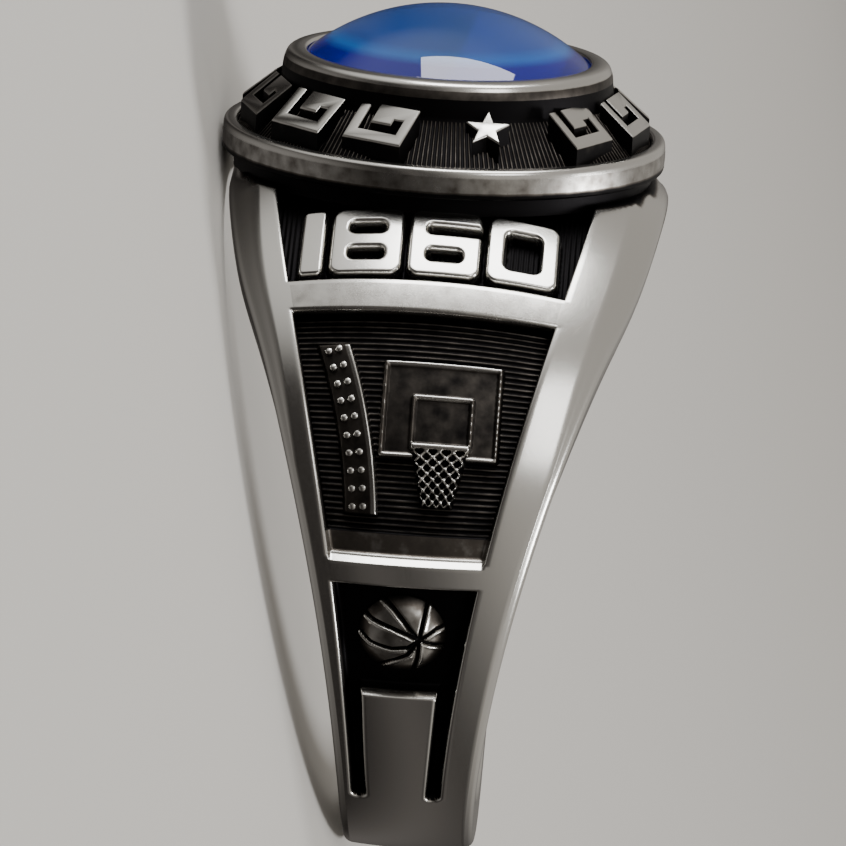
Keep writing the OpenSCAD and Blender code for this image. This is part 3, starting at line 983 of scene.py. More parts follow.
@dataclass
class ShoulderRelief:
    """What stands up in the sunk panels: the year, the board, the hoop and net, the banner and the ball.

    Places down a shoulder are in degrees from the crown, and all other sizes are in mm.
    """

    shank: Shank
    row: PathRow
    cell: float = 0.04
    slab: float = 0.2
    slab_overlap: float = 0.04
    year_hidden: float = 0.3
    picture_hidden: tuple[float, float] = (0.4, 0.2)
    numerals: str = "1860"
    year_head: float = 22.0
    year_centre: float = 37.0
    digit_h: float = 2.8
    digit_w: float = 2.36
    one_w: float = 0.86
    stroke: float = 0.66
    digit_gap: float = 0.1
    digit_rise: float = 0.56
    digit_soft: float = 0.14
    digit_corner: float = 0.42
    one_corner: float = 0.22
    hole_corner: float = 0.16
    zero_hole_corner: float = 0.2
    groove_pitch: float = 0.16
    groove_rise: float = 0.02
    board: tuple[float, float, float, float] = (-1.1, 2.63, 57.3, 72.2)
    target: tuple[float, float, float, float] = (-0.09, 1.73, 62.8, 70.6)
    board_rise: float = 0.22
    board_soft: float = 0.08
    board_patina: float = 0.66
    target_corner: float = 0.05
    line_w: float = 0.17
    line_rise: float = 0.36
    # Polish that every frame line has, then a painted highlight on the lines that lie across the shoulder.
    line_polish_and_highlight: tuple[float, float] = (0.1, 0.5)
    hoop_at: float = 70.3
    hoop_half: float = 0.95
    hoop_wire: float = 0.12
    hoop_rise: float = 0.1
    hoop_soft: float = 0.08
    hoop_patina: float = 0.6
    net_foot: float = 79.6
    net_low_half: float = 0.52
    net_inset: float = 0.04
    net_rise: float = 0.42
    net_soft: float = 0.12
    net_holes_rise: float = 0.55
    net_patina: float = 0.9
    net_shine: float = 0.66
    mesh_pitch: float = 0.36
    mesh_width: float = 0.75
    rib_pitch: float = 0.2
    rib_rise: float = 0.08
    rib_shine: float = 0.42
    banner_top: float = 54.9
    banner_foot: float = 81.3
    banner_inset: float = 0.6
    banner_w: float = 1.08
    banner_bow: float = 0.2
    banner_rise: float = 0.34
    banner_tilt: float = 0.2
    banner_patina: float = 0.62
    # The banner's high right edge stays light: polish on it, with a painted highlight along it.
    banner_edge_polish_and_highlight: tuple[float, float] = (0.27, 0.37)
    stud_count: int = 10
    stud_inset: float = 0.28
    rivet_r: float = 0.13
    rivet_space: float = 0.33
    rivet_sides: int = 12
    rivet_foot: float = 0.1
    rivet_head: float = 0.46
    rivet_bevel: float = 0.08
    rivet_patina: float = 0.7
    ball_at: float = 99.9
    ball_r: float = 1.37
    ball_rise: float = 0.5
    ball_power: float = 2.4
    ball_rings: int = 46
    ball_spokes: int = 150
    ball_patina: float = 0.42
    ball_rim_patina: float = 0.25
    seam_depth: float = 0.13
    seam_reach: tuple[float, float] = (0.01, 0.09)
    lip_rise: float = 0.04
    lip_at: float = 0.11
    lip_w: float = 0.045
    lip_patina: float = 0.1
    seam_black: tuple[float, float] = (0.02, 0.08)
    pole: tuple[float, float] = (0.40, 0.0)
    # The ball's seams in shares of its radius, X to the right and Y up. Each starts at the pole.
    seams: tuple[Line, ...] = (
        ((0.12, 0.15), (-0.22, 0.28), (-0.70, 0.40), (-1.0, 0.56)),
        ((0.30, 0.12), (0.03, 0.47), (-0.22, 0.72), (-0.52, 0.95)),
        ((0.46, 0.40), (0.55, 0.90)),
        ((0.77, 0.22), (1.0, 0.28)),
        ((0.70, -0.14), (1.0, -0.26)),
        ((0.16, -0.18), (-0.22, -0.24), (-0.70, -0.18), (-1.0, 0.03)),
        ((0.16, -0.38), (-0.22, -0.61), (-0.52, -0.88)),
        ((0.38, -0.50), (0.28, -1.0)),
    )

    def patch(self, name: str, side: Side, head: float, foot: float, heights: Heights) -> bpy.types.Object:
        """Makes a panel's floor and the relief on it as one closed slab.

        Args:
            name: The piece's name.
            side: Which shoulder.
            head: Where the slab starts, in degrees from the crown.
            foot: Where it ends.
            heights: Gives height above the floor and patina at a place.

        Returns:
            The slab.
        """
        shank = self.shank
        s = np.arange(shank.run(head), shank.run(foot) + self.cell / 2, self.cell)
        half = shank.panel_half(s) + self.slab_overlap
        count = int(2 * half.max() / self.cell)
        x = half[:, None] * np.linspace(-1, 1, count)
        ss = np.broadcast_to(s[:, None], x.shape)
        rise, black = heights(x, ss)
        top = shank.face_point(ss, x, shank.panel_depth - rise, side)
        left, right = (shank.face_point(s, e, shank.panel_depth + self.slab, side) for e in (-half, half))
        points = np.concatenate([left[:, None], top, right[:, None]], 1)
        points[..., 2] = np.minimum(points[..., 2], shank.top_u + self.slab_overlap / 2)
        black = np.pad(black, ((0, 0), (1, 1)), constant_values=1.0)
        solid = (shank.place.to_row(points), body_faces(len(s), count + 2), black)
        return make_piece(name, solid, crease=80)

    def digit(self, which: str, x: Array, y: Array) -> Array:
        """Gives the distance to a block numeral.

        Args:
            which: The numeral.
            x: Places across, from its middle.
            y: Places up, from its middle.

        Returns:
            Distances, negative inside.
        """
        w, h, t = self.digit_w / 2, self.digit_h / 2, self.stroke
        if which == "1":
            return box_distance(x, y, (0, 0), (self.one_w / 2, h), self.one_corner)
        shape = box_distance(x, y, (0, 0), (w, h), self.digit_corner)
        hole_w, hole_h = w - t, (h - 1.5 * t) / 2
        middle = t / 2 + hole_h
        if which == "0":
            return np.maximum(shape, -box_distance(x, y, (0, 0), (hole_w, h - t), self.zero_hole_corner))
        lower, upper = (
            -box_distance(x, y, (0, at), (hole_w, hole_h), self.hole_corner) for at in (-middle, middle)
        )
        shape = np.maximum(shape, lower)
        if which == "8":
            return np.maximum(shape, upper)
        notch = box_distance(x, y, (w / 2, middle - 0.02), (w / 2 + hole_w, hole_h * 0.8), 0.12)
        return np.maximum(shape, -notch)

    def year(self, x: Array, s: Array) -> tuple[Array, Array]:
        """Raises the numerals from a floor with fine upright grooves.

        Args:
            x: Place along the finger.
            s: Length along the face.

        Returns:
            Height above the floor and patina.
        """
        first, *rest = self.numerals
        y = self.shank.run(self.year_centre) - s
        row = self.one_w + len(rest) * (self.digit_w + self.digit_gap)
        at = -row / 2 + self.one_w / 2
        shape = self.digit(first, x - at, y)
        at += (self.one_w + self.digit_w) / 2 + self.digit_gap
        for which in rest:
            shape = np.minimum(shape, self.digit(which, x - at, y))
            at += self.digit_w + self.digit_gap
        block = raised(shape, self.digit_rise, self.digit_soft)
        groove = self.groove_rise * (1 + np.sin(TURN * x / self.groove_pitch))
        black = 1 - smooth(0.25 * self.digit_rise, 0.8 * self.digit_rise, block)
        return np.maximum(block, groove * smooth(-0.02, 0.1, shape)), black

    def banner_middle(self, s: Array) -> Array:
        """Gives the place of the banner's middle line, which bows out from the panel's edge.

        Args:
            s: Length along the face.

        Returns:
            Places along the finger.
        """
        head, foot = self.shank.run(self.banner_top), self.shank.run(self.banner_foot)
        bow = self.banner_bow * (1 - ((2 * s - head - foot) / (foot - head)) ** 2)
        return self.banner_inset + self.banner_w / 2 + bow - self.shank.panel_half(s)

    def window(self, x: Array, s: Array, sides: tuple[float, float, float, float], corner: float) -> Array:
        """Gives the distance to an upright rectangle on the shoulder.

        Args:
            x: Place along the finger.
            s: Length along the face.
            sides: Its two sides, then its head and foot in degrees from the crown.
            corner: Its corner radius.

        Returns:
            Distances, negative inside.
        """
        (low, high, head, foot), run = sides, self.shank.run
        centre, half = ((low + high) / 2, run((head + foot) / 2)), ((high - low) / 2, run((foot - head) / 2))
        return box_distance(x, s, centre, half, corner)

    def picture(self, x: Array, s: Array) -> tuple[Array, Array]:
        """Raises the board, its frames, the hoop, the net and the banner from a ribbed floor.

        Args:
            x: Place along the finger.
            s: Length along the face.

        Returns:
            Height above the floor, and patina with painted highlights on the frame lines that lie across and
            on the banner's right edge.
        """
        run, middle = self.shank.run, sum(self.target[:2]) / 2
        rib = 0.5 + 0.5 * np.cos(TURN * s / self.rib_pitch)
        plate = self.window(x, s, self.board, self.board_soft)
        inner = self.window(x, s, self.target, self.target_corner)
        floor, flat = self.rib_rise * rib, raised(plate, self.board_rise, self.board_soft)
        height = np.where(plate < 0, np.maximum(flat, floor * 0.3), floor)
        relief = height, np.where(plate < 0, self.board_patina, 1 - self.rib_shine * rib)
        half_line = self.line_w / 2
        for distance in (np.abs(plate + half_line) - half_line, np.abs(inner) - half_line):
            ridge = raised(distance, 1.0, half_line)
            # Lines that lie across the shoulder are lightened further: a painted highlight over the polish
            # of every line.
            down, across = (np.abs(np.gradient(distance, axis=axis)) for axis in (0, 1))
            level = smooth(0.6, 1.4, down / (across + 1e-6))
            ridge_polish_and_highlight = self.line_polish_and_highlight[0] + self.line_polish_and_highlight[1] * level
            black = np.minimum(relief[1], self.board_patina - ridge_polish_and_highlight * ridge)
            rise = self.board_rise + (self.line_rise - self.board_rise) * ridge
            relief = overlay(relief, distance, rise, black)
        share = np.clip((s - run(self.hoop_at)) / (run(self.net_foot) - run(self.hoop_at)), 0, 1)
        width = self.hoop_half + (self.net_low_half - self.hoop_half) * share - self.net_inset
        ends = np.maximum(run(self.hoop_at) - s, s - run(self.net_foot))
        net = np.maximum(np.abs(x - middle) - width, ends)
        spread = (x - middle) / np.maximum(width, 0.2) * self.mesh_width
        holes = [np.abs(np.sin(math.pi * (spread + way * s) / self.mesh_pitch)) for way in (-1, 1)]
        weave = 1 - np.minimum(*holes)
        strands = self.net_holes_rise + (1 - self.net_holes_rise) * smooth(0.2, 0.8, weave)
        basket = raised(net, self.net_rise, self.net_soft) * strands
        relief = overlay(relief, net, basket, self.net_patina - self.net_shine * smooth(0.35, 0.8, weave))
        centre, half = (middle, run(self.hoop_at)), (self.hoop_half, self.hoop_wire)
        hoop = box_distance(x, s, centre, half, self.hoop_soft)
        ring = raised(hoop, self.net_rise + self.hoop_rise, self.hoop_soft)
        relief = overlay(relief, hoop, ring, self.hoop_patina * (1 - smooth(0.1, 0.3, ring)))
        off = x - self.banner_middle(s)
        ends = np.maximum(run(self.banner_top) - s, s - run(self.banner_foot))
        ribbon, tilt = np.maximum(np.abs(off) - self.banner_w / 2, ends), off / self.banner_w
        strip = raised(ribbon, 1.0) * (self.banner_rise + self.banner_tilt * tilt)
        # The right edge is left light: polish on the high edge, with a painted highlight along it.
        black = self.banner_patina * (1 - smooth(*self.banner_edge_polish_and_highlight, tilt))
        return overlay(relief, ribbon, strip, black)

    def panels(self, side: Side) -> list[bpy.types.Object]:
        """Makes a shoulder's two slabs, whose ends run on a little under the metal.

        Args:
            side: Which shoulder.

        Returns:
            The year's slab and the picture's.
        """
        shank, tag, (above, below) = self.shank, side.name.lower(), self.picture_hidden
        head, foot = shank.upper_bar_foot - above, shank.step_head + below
        year_foot = shank.year_foot + self.year_hidden
        return [
            self.patch(f"year_panel_{tag}", side, self.year_head, year_foot, self.year),
            self.patch(f"picture_panel_{tag}", side, head, foot, self.picture),
        ]

    def stud_top(self, p: Array) -> Array:
        """Returns the studs' level top at places."""
        return np.full(len(p), self.rivet_head)

    def studs(self, side: Side) -> bpy.types.Object:
        """Sets the studs along the banner.

        Args:
            side: Which shoulder.

        Returns:
            The studs.
        """
        shank = self.shank
        turns = np.linspace(0, TURN, self.rivet_sides, endpoint=False)
        outline = self.rivet_r * np.stack([np.cos(turns), np.sin(turns)], -1)
        both = (outline + [0, y] for y in (-self.rivet_space / 2, self.rivet_space / 2))
        pair = [prism(one, self.rivet_foot, self.stud_top, self.rivet_bevel) for one in both]
        points, faces, black = join_solids(pair)
        rivets = make_piece("rivet_pair", (points, faces, black * self.rivet_patina))
        head, foot = shank.run(self.banner_top), shank.run(self.banner_foot)
        s = np.linspace(head + self.stud_inset, foot - self.stud_inset, 60)
        path = np.stack([s, 0.08 - self.banner_middle(s), np.zeros_like(s)], -1)
        flat, faces, black = self.row.build("rivet_path", path, False, self.stud_count, rivets)
        bent = shank.face_point(flat[:, 0], -flat[:, 1], shank.panel_depth - flat[:, 2], side)
        name = f"banner_studs_{side.name.lower()}"
        return make_piece(name, (shank.place.to_row(bent), faces, black), crease=35)

    def nearest_seam(self, x: Array, y: Array) -> tuple[Array, Array]:
        """Finds the seam next to each place on the ball.

        Args:
            x: Places across, in shares of the ball's radius.
            y: Places up.

        Returns:
            The distance to the seam, and how far the place lies above it.
        """
        near, above = np.full(x.shape, np.inf), np.zeros(x.shape)
        for seam in self.seams:
            for (ax, ay), (bx, by) in zip((self.pole, *seam), seam):
                dx, dy = bx - ax, by - ay
                t = np.clip(((x - ax) * dx + (y - ay) * dy) / (dx**2 + dy**2), 0, 1)
                px, py = x - ax - t * dx, y - ay - t * dy
                distance = np.hypot(px, py)
                closer = distance < near
                near, above = np.where(closer, distance, near), np.where(closer, py, above)
        return near, above

    def ball(self, side: Side) -> bpy.types.Object:
        """Makes the ball as a dome with grooved seams, whose lower lips catch the light.

        Args:
            side: Which shoulder.

        Returns:
            The ball.
        """
        shank, spokes = self.shank, self.ball_spokes
        share = np.linspace(0, 1, self.ball_rings)[1:, None]
        angle = np.linspace(0, TURN, spokes, endpoint=False)
        bx, by = share * np.cos(angle), share * np.sin(angle)
        near, above = self.nearest_seam(bx, by)
        gap = near * self.ball_r
        foot = shank.panel_depth - shank.floor_gap - self.ball_rise
        groove = self.seam_depth * (1 - smooth(*self.seam_reach, gap))
        lip = self.lip_rise * np.exp(-(((gap - self.lip_at) / self.lip_w) ** 2)) * (above < 0)
        height = foot + self.ball_rise * (1 - share**self.ball_power) - groove + lip
        seam = (1 - self.ball_patina) * (1 - smooth(*self.seam_black, gap))
        black = np.clip(self.ball_patina + seam + self.ball_rim_patina * smooth(0.7, 1, share), 0, 1)
        black = np.where(lip > 0.3 * self.lip_rise, self.lip_patina, black)
        height = np.concatenate([height, np.full((1, spokes), -0.1)])
        bx, by = np.concatenate([bx, bx[-1:]]), np.concatenate([by, by[-1:]])
        s = shank.run(self.ball_at) - by * self.ball_r
        top = shank.face_point(s, bx * self.ball_r, shank.panel_depth - height, side)
        depth = shank.panel_depth - foot - self.ball_rise
        centre = shank.face_point(shank.run(self.ball_at), 0.0, depth, side)
        points = shank.place.to_row(np.concatenate([centre[None], top.reshape(-1, 3)]))
        patina = np.concatenate([[0.0], black.reshape(-1), np.ones(spokes)])
        faces = body_faces(len(height), spokes, pole=True)
        return make_piece(f"ball_{side.name.lower()}", (points, faces, patina), crease=75)


@dataclass(frozen=True)
class Oval:
    """The stone's outline: four arcs, two at its ends and two along its sides."""

    half_long: float = 5.0
    half_wide: float = 4.5

    def arcs(self) -> tuple[float, float, float, float, float]:
        """Works out the four arcs.

        Returns:
            The end arcs' radius and centre, the sides' centre and radius, and the ends' half turn.
        """
        end_r = self.half_wide**2 / self.half_long
        end_x = self.half_long - end_r
        left = self.half_wide - end_r
        side_y = (end_x**2 - left**2) / (2 * left)
        return end_r, end_x, side_y, self.half_wide + side_y, math.atan2(side_y, end_x)

    def turns(self, count: int) -> Array:
        """Returns directions at even steps, in radians from the near side."""
        return np.arange(count) * 2 * math.pi / count

    def points(self, turns: Array, outward: float) -> Array:
        """Finds places at a distance outside the outline.

        Args:
            turns: Directions of the outline's normal, in radians from the near side.
            outward: Distance outside the outline.

        Returns:
            X and Y for each direction.
        """
        end_r, end_x, side_y, side_r, end_turn = self.arcs()
        n = np.stack([np.sin(turns), -np.cos(turns)], -1)
        quarter = np.abs(n[..., 0]) > math.cos(end_turn)
        centre = np.where(
            quarter[..., None],
            np.stack([np.sign(n[..., 0]) * end_x, np.zeros_like(turns)], -1),
            np.stack([np.zeros_like(turns), -np.sign(n[..., 1]) * side_y], -1),
        )
        radius = np.where(quarter, end_r, side_r) + outward
        return centre + radius[..., None] * n

    def ring(self, turns: Array, outward: float, height: float) -> Array:
        """Returns the outline at a distance outside the stone and at a height."""
        return np.column_stack([self.points(turns, outward), np.full(len(turns), height)])


def rounded_profile(
    rows: Sequence[Sequence[float]], cuts: int = 6, longest: float = 0.3
) -> tuple[Array, Array]:
    """Rounds the corners of a profile and cuts its long sides.

    Args:
        rows: Distance outside the stone, height, corner radius and patina of each corner.
        cuts: Number of points round a corner.
        longest: Length from which a side is cut.

    Returns:
        The profile's points and their patina.
    """
    table, most = np.array(rows, float), 0.47
    place, radius, black = table[:, :2], table[:, 2], table[:, 3]
    points, patina = [place[0]], [black[0]]
    for i in range(1, len(place) - 1):
        back, on = place[i - 1] - place[i], place[i + 1] - place[i]
        cut = min(radius[i], most * np.linalg.norm(back), most * np.linalg.norm(on))
        a = place[i] + back / np.linalg.norm(back) * cut
        b = place[i] + on / np.linalg.norm(on) * cut
        for t in np.linspace(0, 1, cuts if cut > 0.01 else 2):
            points.append((1 - t) ** 2 * a + 2 * t * (1 - t) * place[i] + t * t * b)
            patina.append(black[i])
    points.append(place[-1])
    patina.append(black[-1])
    full, worn = [points[0]], [patina[0]]
    for p, q, v, w in zip(points[:-1], points[1:], patina[:-1], patina[1:]):
        parts = max(1, int(np.linalg.norm(q - p) / longest) + 1)
        for k in range(1, parts + 1):
            full.append(p + (q - p) * k / parts)
            worn.append(v + (w - v) * k / parts)
    return np.array(full), np.array(worn)


@dataclass
class Crown:
    """The oval head: rim, ornament band, bezel and the polished cup that the stone lies in."""

    place: RingFrame
    row: PathRow
    oval: Oval = Oval()
    stations: int = 420
    path_turns: int = 2880
    loop_points: int = 2400
    run_points: int = 600
    band_middle: float = 0.98
    face_half: float = 0.565
    face_head: float = 13.81
    slope: float = 0.85
    block_foot: float = 11.8
    key_count: int = 5
    key_w: float = 2.15
    key_bevel: float = 0.05
    stroke: float = 0.36
    star_run: float = 1.54
    star_space: float = 3.4
    star_r: float = 0.72
    star_inner: float = 0.42
    star_squash: float = 0.75
    star_raise: float = 0.06
    star_bevel: float = 0.04
    ridge_pitch: float = 0.14
    ridge_half: float = 0.045
    ridge_rise: float = 0.05
    ridge_sunk: float = 0.2
    ridge_ends: Line = ((0.55, 13.38), (-0.7, 12.06))
    ridge_patina: tuple[float, ...] = (1.0, 0.45, 1.0, 1.0)
    # Distance outside the stone, height, corner radius and patina, from under the neck to the cup's middle.
    corners: tuple[tuple[float, float, float, float], ...] = (
        (1.79, 10.7, 0.0, 1.0),
        (1.79, 11.28, 0.02, 1.0),
        (2.17, 11.28, 0.14, 0.8),
        (2.2, 11.76, 0.3, 0.42),
        (2.16, 12.25, 0.16, 0.05),
        (1.77, 12.28, 0.1, 0.05),
        (1.69, 12.03, 0.06, 1.0),
        (0.46, 13.34, 0.12, 1.0),
        (0.4, 13.5, 0.06, 1.0),
        (0.37, 13.95, 0.15, 0.95),
        (0.34, 14.25, 0.12, 0.6),
        (0.22, 14.58, 0.16, 0.0),
        (-0.08, 14.67, 0.2, 0.0),
        (-0.35, 14.65, 0.1, 0.0),
        (-0.41, 14.55, 0.02, 0.2),
        (-0.3, 14.42, 0.0, 0.3),
        (0.035, 14.15, 0.02, 0.6),
        (0.035, 12.8, 0.05, 0.9),
        (-1.0, 12.79, 0.0, 0.6),
        (-1.3, 12.79, 0.0, -1.0),
        (-3.0, 12.79, 0.0, -1.0),
    )

    def build(self) -> bpy.types.Object:
        """Sweeps the crown's profile round the oval.

        Returns:
            The crown, closed at the cup's floor and under the neck.
        """
        profile, black = rounded_profile(self.corners)
        turns = self.oval.turns(self.stations)
        points = np.stack([self.oval.ring(turns, out, u) for out, u in profile])
        faces = body_faces(len(points), self.stations)
        solid = (self.place.to_row(points), faces, np.repeat(black, self.stations))
        return make_piece("crown_head", solid, crease=60)

    def path(self, start: float = 0.0, length: float | None = None) -> Array:
        """Lays a path round the middle of the ornament band.

        Args:
            start: Its start, as a length round the band from the middle of the near side.
            length: Its length; without one it is the whole loop.

        Returns:
            The path's points, close together.
        """
        flat = self.oval.points(self.oval.turns(self.path_turns), self.band_middle)
        loop = np.vstack([flat, flat[:1]])
        run = np.concatenate([[0], np.cumsum(np.linalg.norm(np.diff(loop, axis=0), axis=1))])
        if length is None:
            wanted = np.arange(self.loop_points) / self.loop_points * run[-1]
        else:
            wanted = np.linspace(0, length, self.run_points)
        wanted = (start + wanted) % run[-1]
        x, y = (np.interp(wanted, run, loop[:, k]) for k in range(2))
        return np.column_stack([x, y, np.zeros(len(wanted))])

    def round_length(self) -> float:
        """Returns the whole length round the band's middle."""
        loop = self.path()
        return float(np.linalg.norm(np.roll(loop, -1, 0) - loop, axis=1).sum())

    def top(self, p: Array) -> Array:
        """Returns the ornaments' sloping top at places whose Y points to the stone."""
        return self.face_head - self.slope * (self.face_half - p[:, 1])

    def stars(self) -> bpy.types.Object:
        """Sets a raised star on each side of the crown.

        Returns:
            The two stars.
        """
        turns = np.arange(10) * math.pi / 5
        reach = np.where(np.arange(10) % 2 == 0, self.star_r, self.star_inner * self.star_r)
        high = self.star_squash * reach * np.cos(turns) + self.star_raise
        outline = np.stack([reach * np.sin(turns), high], -1)
        star = make_piece("star", prism(outline, self.block_foot, self.top, self.star_bevel))
        flat, faces, black = self.row.build("star_path", self.path(self.star_run), True, 2, star)
        return make_piece("crown_stars", (self.place.to_row(flat), faces, black), crease=30)

    def key(self) -> bpy.types.Object:
        """Makes one key block, a squared spiral that is open at one side.

        Returns:
            The block.
        """
        w, h, s = self.key_w / 2, self.face_half, self.stroke
        slot, bar, ledge = 1.9 * s - w, w - 2 * s, 0.85 * s - h
        hook = ((-w, -h), (w, -h), (w, h), (slot, h), (slot, 0), (bar, 0), (bar, s / 2), (w - s, s / 2))
        groove = ((w - s, ledge), (s - w, ledge), (s - w, h), (-w, h))
        return make_piece("key", prism(np.array(hook + groove), self.block_foot, self.top, self.key_bevel))

    def keys(self) -> bpy.types.Object:
        """Sets the key blocks between the stars.

        Returns:
            The blocks of both halves.
        """
        half = self.round_length() / 2
        rows = []
        for start in (self.star_run, self.star_run + half):
            path = self.path(start + self.star_space, half - 2 * self.star_space)
            rows.append(self.row.build("key_path", path, False, self.key_count, self.key()))
        flat, faces, black = join_solids(rows)
        return make_piece("crown_keys", (self.place.to_row(flat), faces, black), crease=30)

    def ridges(self) -> bpy.types.Object:
        """Lays the fine upright ridges on the band's floor.

        Returns:
            The ridges.
        """
        half, rise = self.ridge_half, self.ridge_rise
        section = ((-half, 0), (0, rise), (half, 0), (0, -self.ridge_sunk))
        points = np.array([(x, y, z + lift) for y, z in self.ridge_ends for x, lift in section])
        ridge = make_piece("ridge", (points, body_faces(2, len(section)), np.tile(self.ridge_patina, 2)))
        count = int(self.round_length() / self.ridge_pitch)
        flat, faces, black = self.row.build("ridge_path", self.path(), True, count, ridge)
        return make_piece("crown_ridges", (self.place.to_row(flat), faces, black), crease=60)


@dataclass
class Cabochon:
    """The stone: a dome on a bevelled back."""

    place: RingFrame
    oval: Oval = Oval()
    girdle_u: float = 14.129
    dome: float = 2.1
    edge: float = 0.45
    edge_break: float = 0.06
    back_u: float = 12.83
    back_inset: float = 1.15
    stations: int = 240
    rings: int = 44

    def build(self) -> bpy.types.Object:
        """Makes the stone.

        Returns:
            The stone, closed at its pole and across its back.
        """
        oval, dome, back = self.oval, self.dome, self.back_inset
        turns = oval.turns(self.stations)
        outline = oval.points(turns, 0.0)
        along, across = ((half**2 + dome**2) / (2 * dome) for half in (oval.half_long, oval.half_wide))
        rows = []
        for share in np.linspace(0, 1, self.rings)[1:]:
            flat = outline * math.sin(share * math.pi / 2)
            reach = along - across + np.sqrt(across**2 - flat[:, 1] ** 2)
            high = self.girdle_u + dome - along + np.sqrt(reach**2 - flat[:, 0] ** 2)
            rows.append(np.column_stack([flat, high]))
        foot = self.girdle_u - self.edge
        below = ((0, foot), (-self.edge_break, foot - 0.05))
        below += ((-back, self.back_u + 0.01), (-back - 0.08, self.back_u))
        rows += [oval.ring(turns, out, u) for out, u in below]
        points = np.concatenate([[(0, 0, self.girdle_u + dome)], *rows])
        outward = np.clip(np.hypot(points[:, 0] / oval.half_long, points[:, 1] / oval.half_wide), 0, 1)
        faces = body_faces(len(rows), self.stations, pole=True)
        return make_piece("cabochon", (self.place.to_row(points), faces, outward), crease=30)


@dataclass(frozen=True)
class SoftLight:
    """A softbox that faces the ring."""

    name: str
    place: tuple[float, float, float]
    size: tuple[float, float]
    power: float
    colour: str = "#ffffff"

    def hang(self) -> None:
        """Hangs the softbox and turns it to the ring."""
        lamp = bpy.data.lights.new(self.name, "AREA")
        lamp.shape = "RECTANGLE"
        lamp.size, lamp.size_y = self.size
        lamp.energy, lamp.color = self.power, linear(self.colour)[:3]
        holder = add_object(self.name, lamp)
        holder.location = self.place
        holder.rotation_euler = (-Vector(self.place)).to_track_quat("-Z", "Y").to_euler()


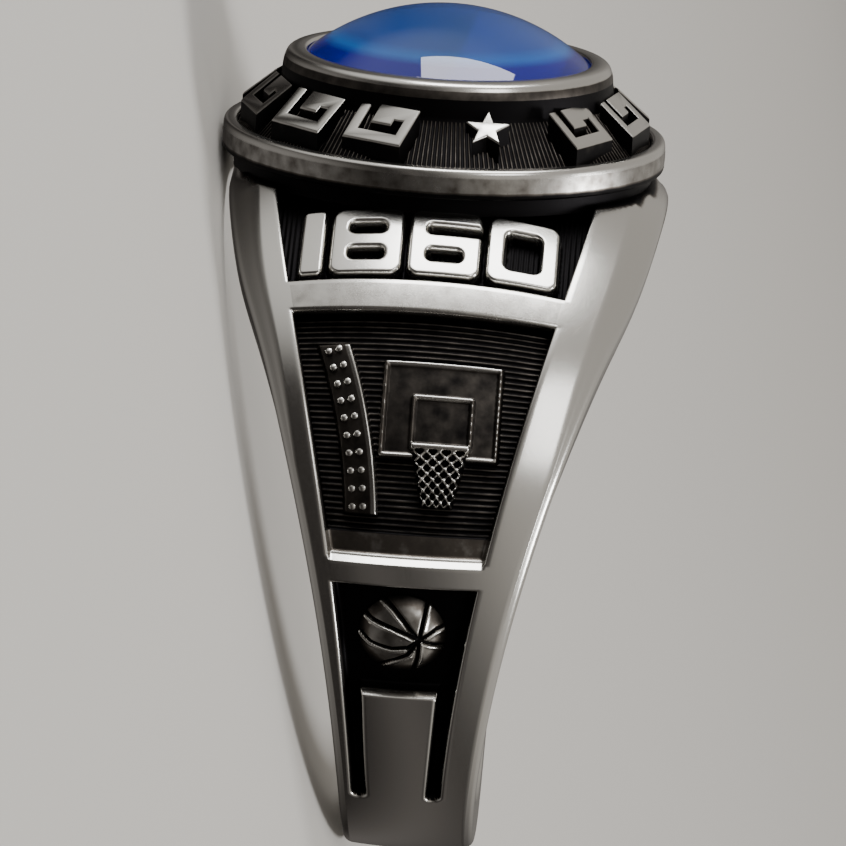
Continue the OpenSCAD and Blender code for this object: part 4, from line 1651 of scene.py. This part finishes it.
@dataclass
class Studio:
    """The floor, the soft lights, the dim room and the camera.

    The room's colours go with the height of the direction looked in, and its pale wall stands towards -X.
    """

    place: RingFrame
    floor_reach: float = 6.0
    room: tuple[tuple[float, str], ...] = (
        (-1.0, "#8a8784"),
        (-0.62, "#4c4946"),
        (-0.36, "#1b1817"),
        (-0.2, "#66625f"),
        (-0.09, "#3a3735"),
        (0.1, "#6f6c69"),
        (0.4, "#b3afa9"),
    )
    window_wall: str = "#e2e0dc"
    window_from: float = -0.7
    window_full: float = -0.97
    lights: tuple[SoftLight, ...] = (
        SoftLight("window_softbox", (-0.421, -0.016, 0.16), (0.19, 0.29), 1.5),
        SoftLight("front_softbox", (-0.176, -0.315, 0.273), (0.2, 0.14), 0.3),
        SoftLight("ceiling_softbox", (1.84, -0.72, 3.48), (1.2, 1.2), 95.0),
    )
    view_raise: float = 14.59
    view_turn: float = 2.0
    view_roll: float = -3.38
    pixels_per_mm: float = 30.349
    centre_px: tuple[float, float] = (423.3, 490.1)
    distance_mm: float = 200.0
    image_px: int = 846
    sensor_mm: float = 36.0
    nearest: float = 0.01
    farthest: float = 20.0

    def floor(self) -> bpy.types.Object:
        """Lays the floor under the ring.

        Returns:
            The floor.
        """
        r = self.floor_reach
        mesh = bpy.data.meshes.new("floor")
        mesh.from_pydata([(-r, -r, 0), (r, -r, 0), (r, r, 0), (-r, r, 0)], [], [(0, 1, 2, 3)])
        mesh.materials.append(PaleFloor().build())
        floor = add_object("floor", mesh)
        floor.visible_glossy = False
        return floor

    def light(self) -> None:
        """Hangs the softboxes and sets the dim room."""
        for softbox in self.lights:
            softbox.hang()
        world = bpy.data.worlds.new("dim_room")
        tree = empty_tree(world)
        way = add_node(tree, "ShaderNodeTexCoord").outputs["Generated"]
        split = add_node(tree, "ShaderNodeSeparateXYZ", {"Vector": way})
        low, high = self.room[0][0], self.room[-1][0]
        inputs = {"Value": split.outputs["Z"], "From Min": low, "From Max": high}
        share = add_node(tree, "ShaderNodeMapRange", inputs).outputs["Result"]
        tint = add_node(tree, "ShaderNodeValToRGB", {"Fac": share})
        set_stops(tint.color_ramp, [((level - low) / (high - low), colour) for level, colour in self.room])
        inputs = {"Value": split.outputs["X"], "From Min": self.window_from, "From Max": self.window_full}
        lit = add_node(tree, "ShaderNodeMapRange", inputs, interpolation_type="SMOOTHSTEP").outputs["Result"]
        inputs = {0: lit, 6: tint.outputs["Color"], 7: linear(self.window_wall)}
        tone = add_node(tree, "ShaderNodeMix", inputs, data_type="RGBA").outputs[2]
        back = add_node(tree, "ShaderNodeBackground", {"Color": tone, "Strength": 1.0})
        add_node(tree, "ShaderNodeOutputWorld", {"Surface": back.outputs[0]})
        bpy.context.scene.world = world

    def camera(self) -> bpy.types.Object:
        """Sets the camera at the photograph's angle to the ring.

        Returns:
            The camera.
        """
        e, t, r = (math.radians(a) for a in (self.view_raise, self.view_turn, self.view_roll))
        back = np.array([math.cos(e) * math.sin(t), -math.cos(e) * math.cos(t), math.sin(e)])
        right = np.array([math.cos(t), math.sin(t), 0])
        up = np.cross(right, -back)
        turned_right = math.cos(r) * right - math.sin(r) * up
        turned_up = math.sin(r) * right + math.cos(r) * up
        x, y = ((centre - self.image_px / 2) / self.pixels_per_mm for centre in self.centre_px)
        eye = -x * turned_right + y * turned_up + self.distance_mm * back
        axes = np.stack([turned_right, turned_up, back]) @ self.place.basis()
        data = bpy.data.cameras.new("camera")
        data.sensor_width = self.sensor_mm
        data.lens = self.sensor_mm * self.pixels_per_mm * self.distance_mm / self.image_px
        data.clip_start, data.clip_end = self.nearest, self.farthest
        camera = add_object("camera", data)
        camera.matrix_world = Matrix.Translation(self.place.to_row(eye)) @ Matrix(axes.T.tolist()).to_4x4()
        bpy.context.scene.camera = camera
        return camera


def main() -> None:
    """Builds the ring, then the room round it."""
    logging.basicConfig(level=logging.INFO, format="%(message)s")
    place = RingFrame.from_record(frame["record"])
    metal = CastMetal().build()
    row = PathRow(rows_along_path(), metal)
    shank = Shank(place)
    relief = ShoulderRelief(shank, row)
    pieces = [shank.build()]
    for side in Side:
        pieces += [*relief.panels(side), relief.studs(side), relief.ball(side)]
    crown = Crown(place, row)
    pieces += [crown.build(), crown.stars(), crown.keys(), crown.ridges()]
    for piece in pieces:
        dress(piece, metal, "cast_metal", "cast_ring")
    dress(Cabochon(place).build(), BlueSpinel().build(), "stone", "stone")
    studio = Studio(place)
    studio.floor()
    studio.light()
    studio.camera()


if __name__ == "__main__":
    main()
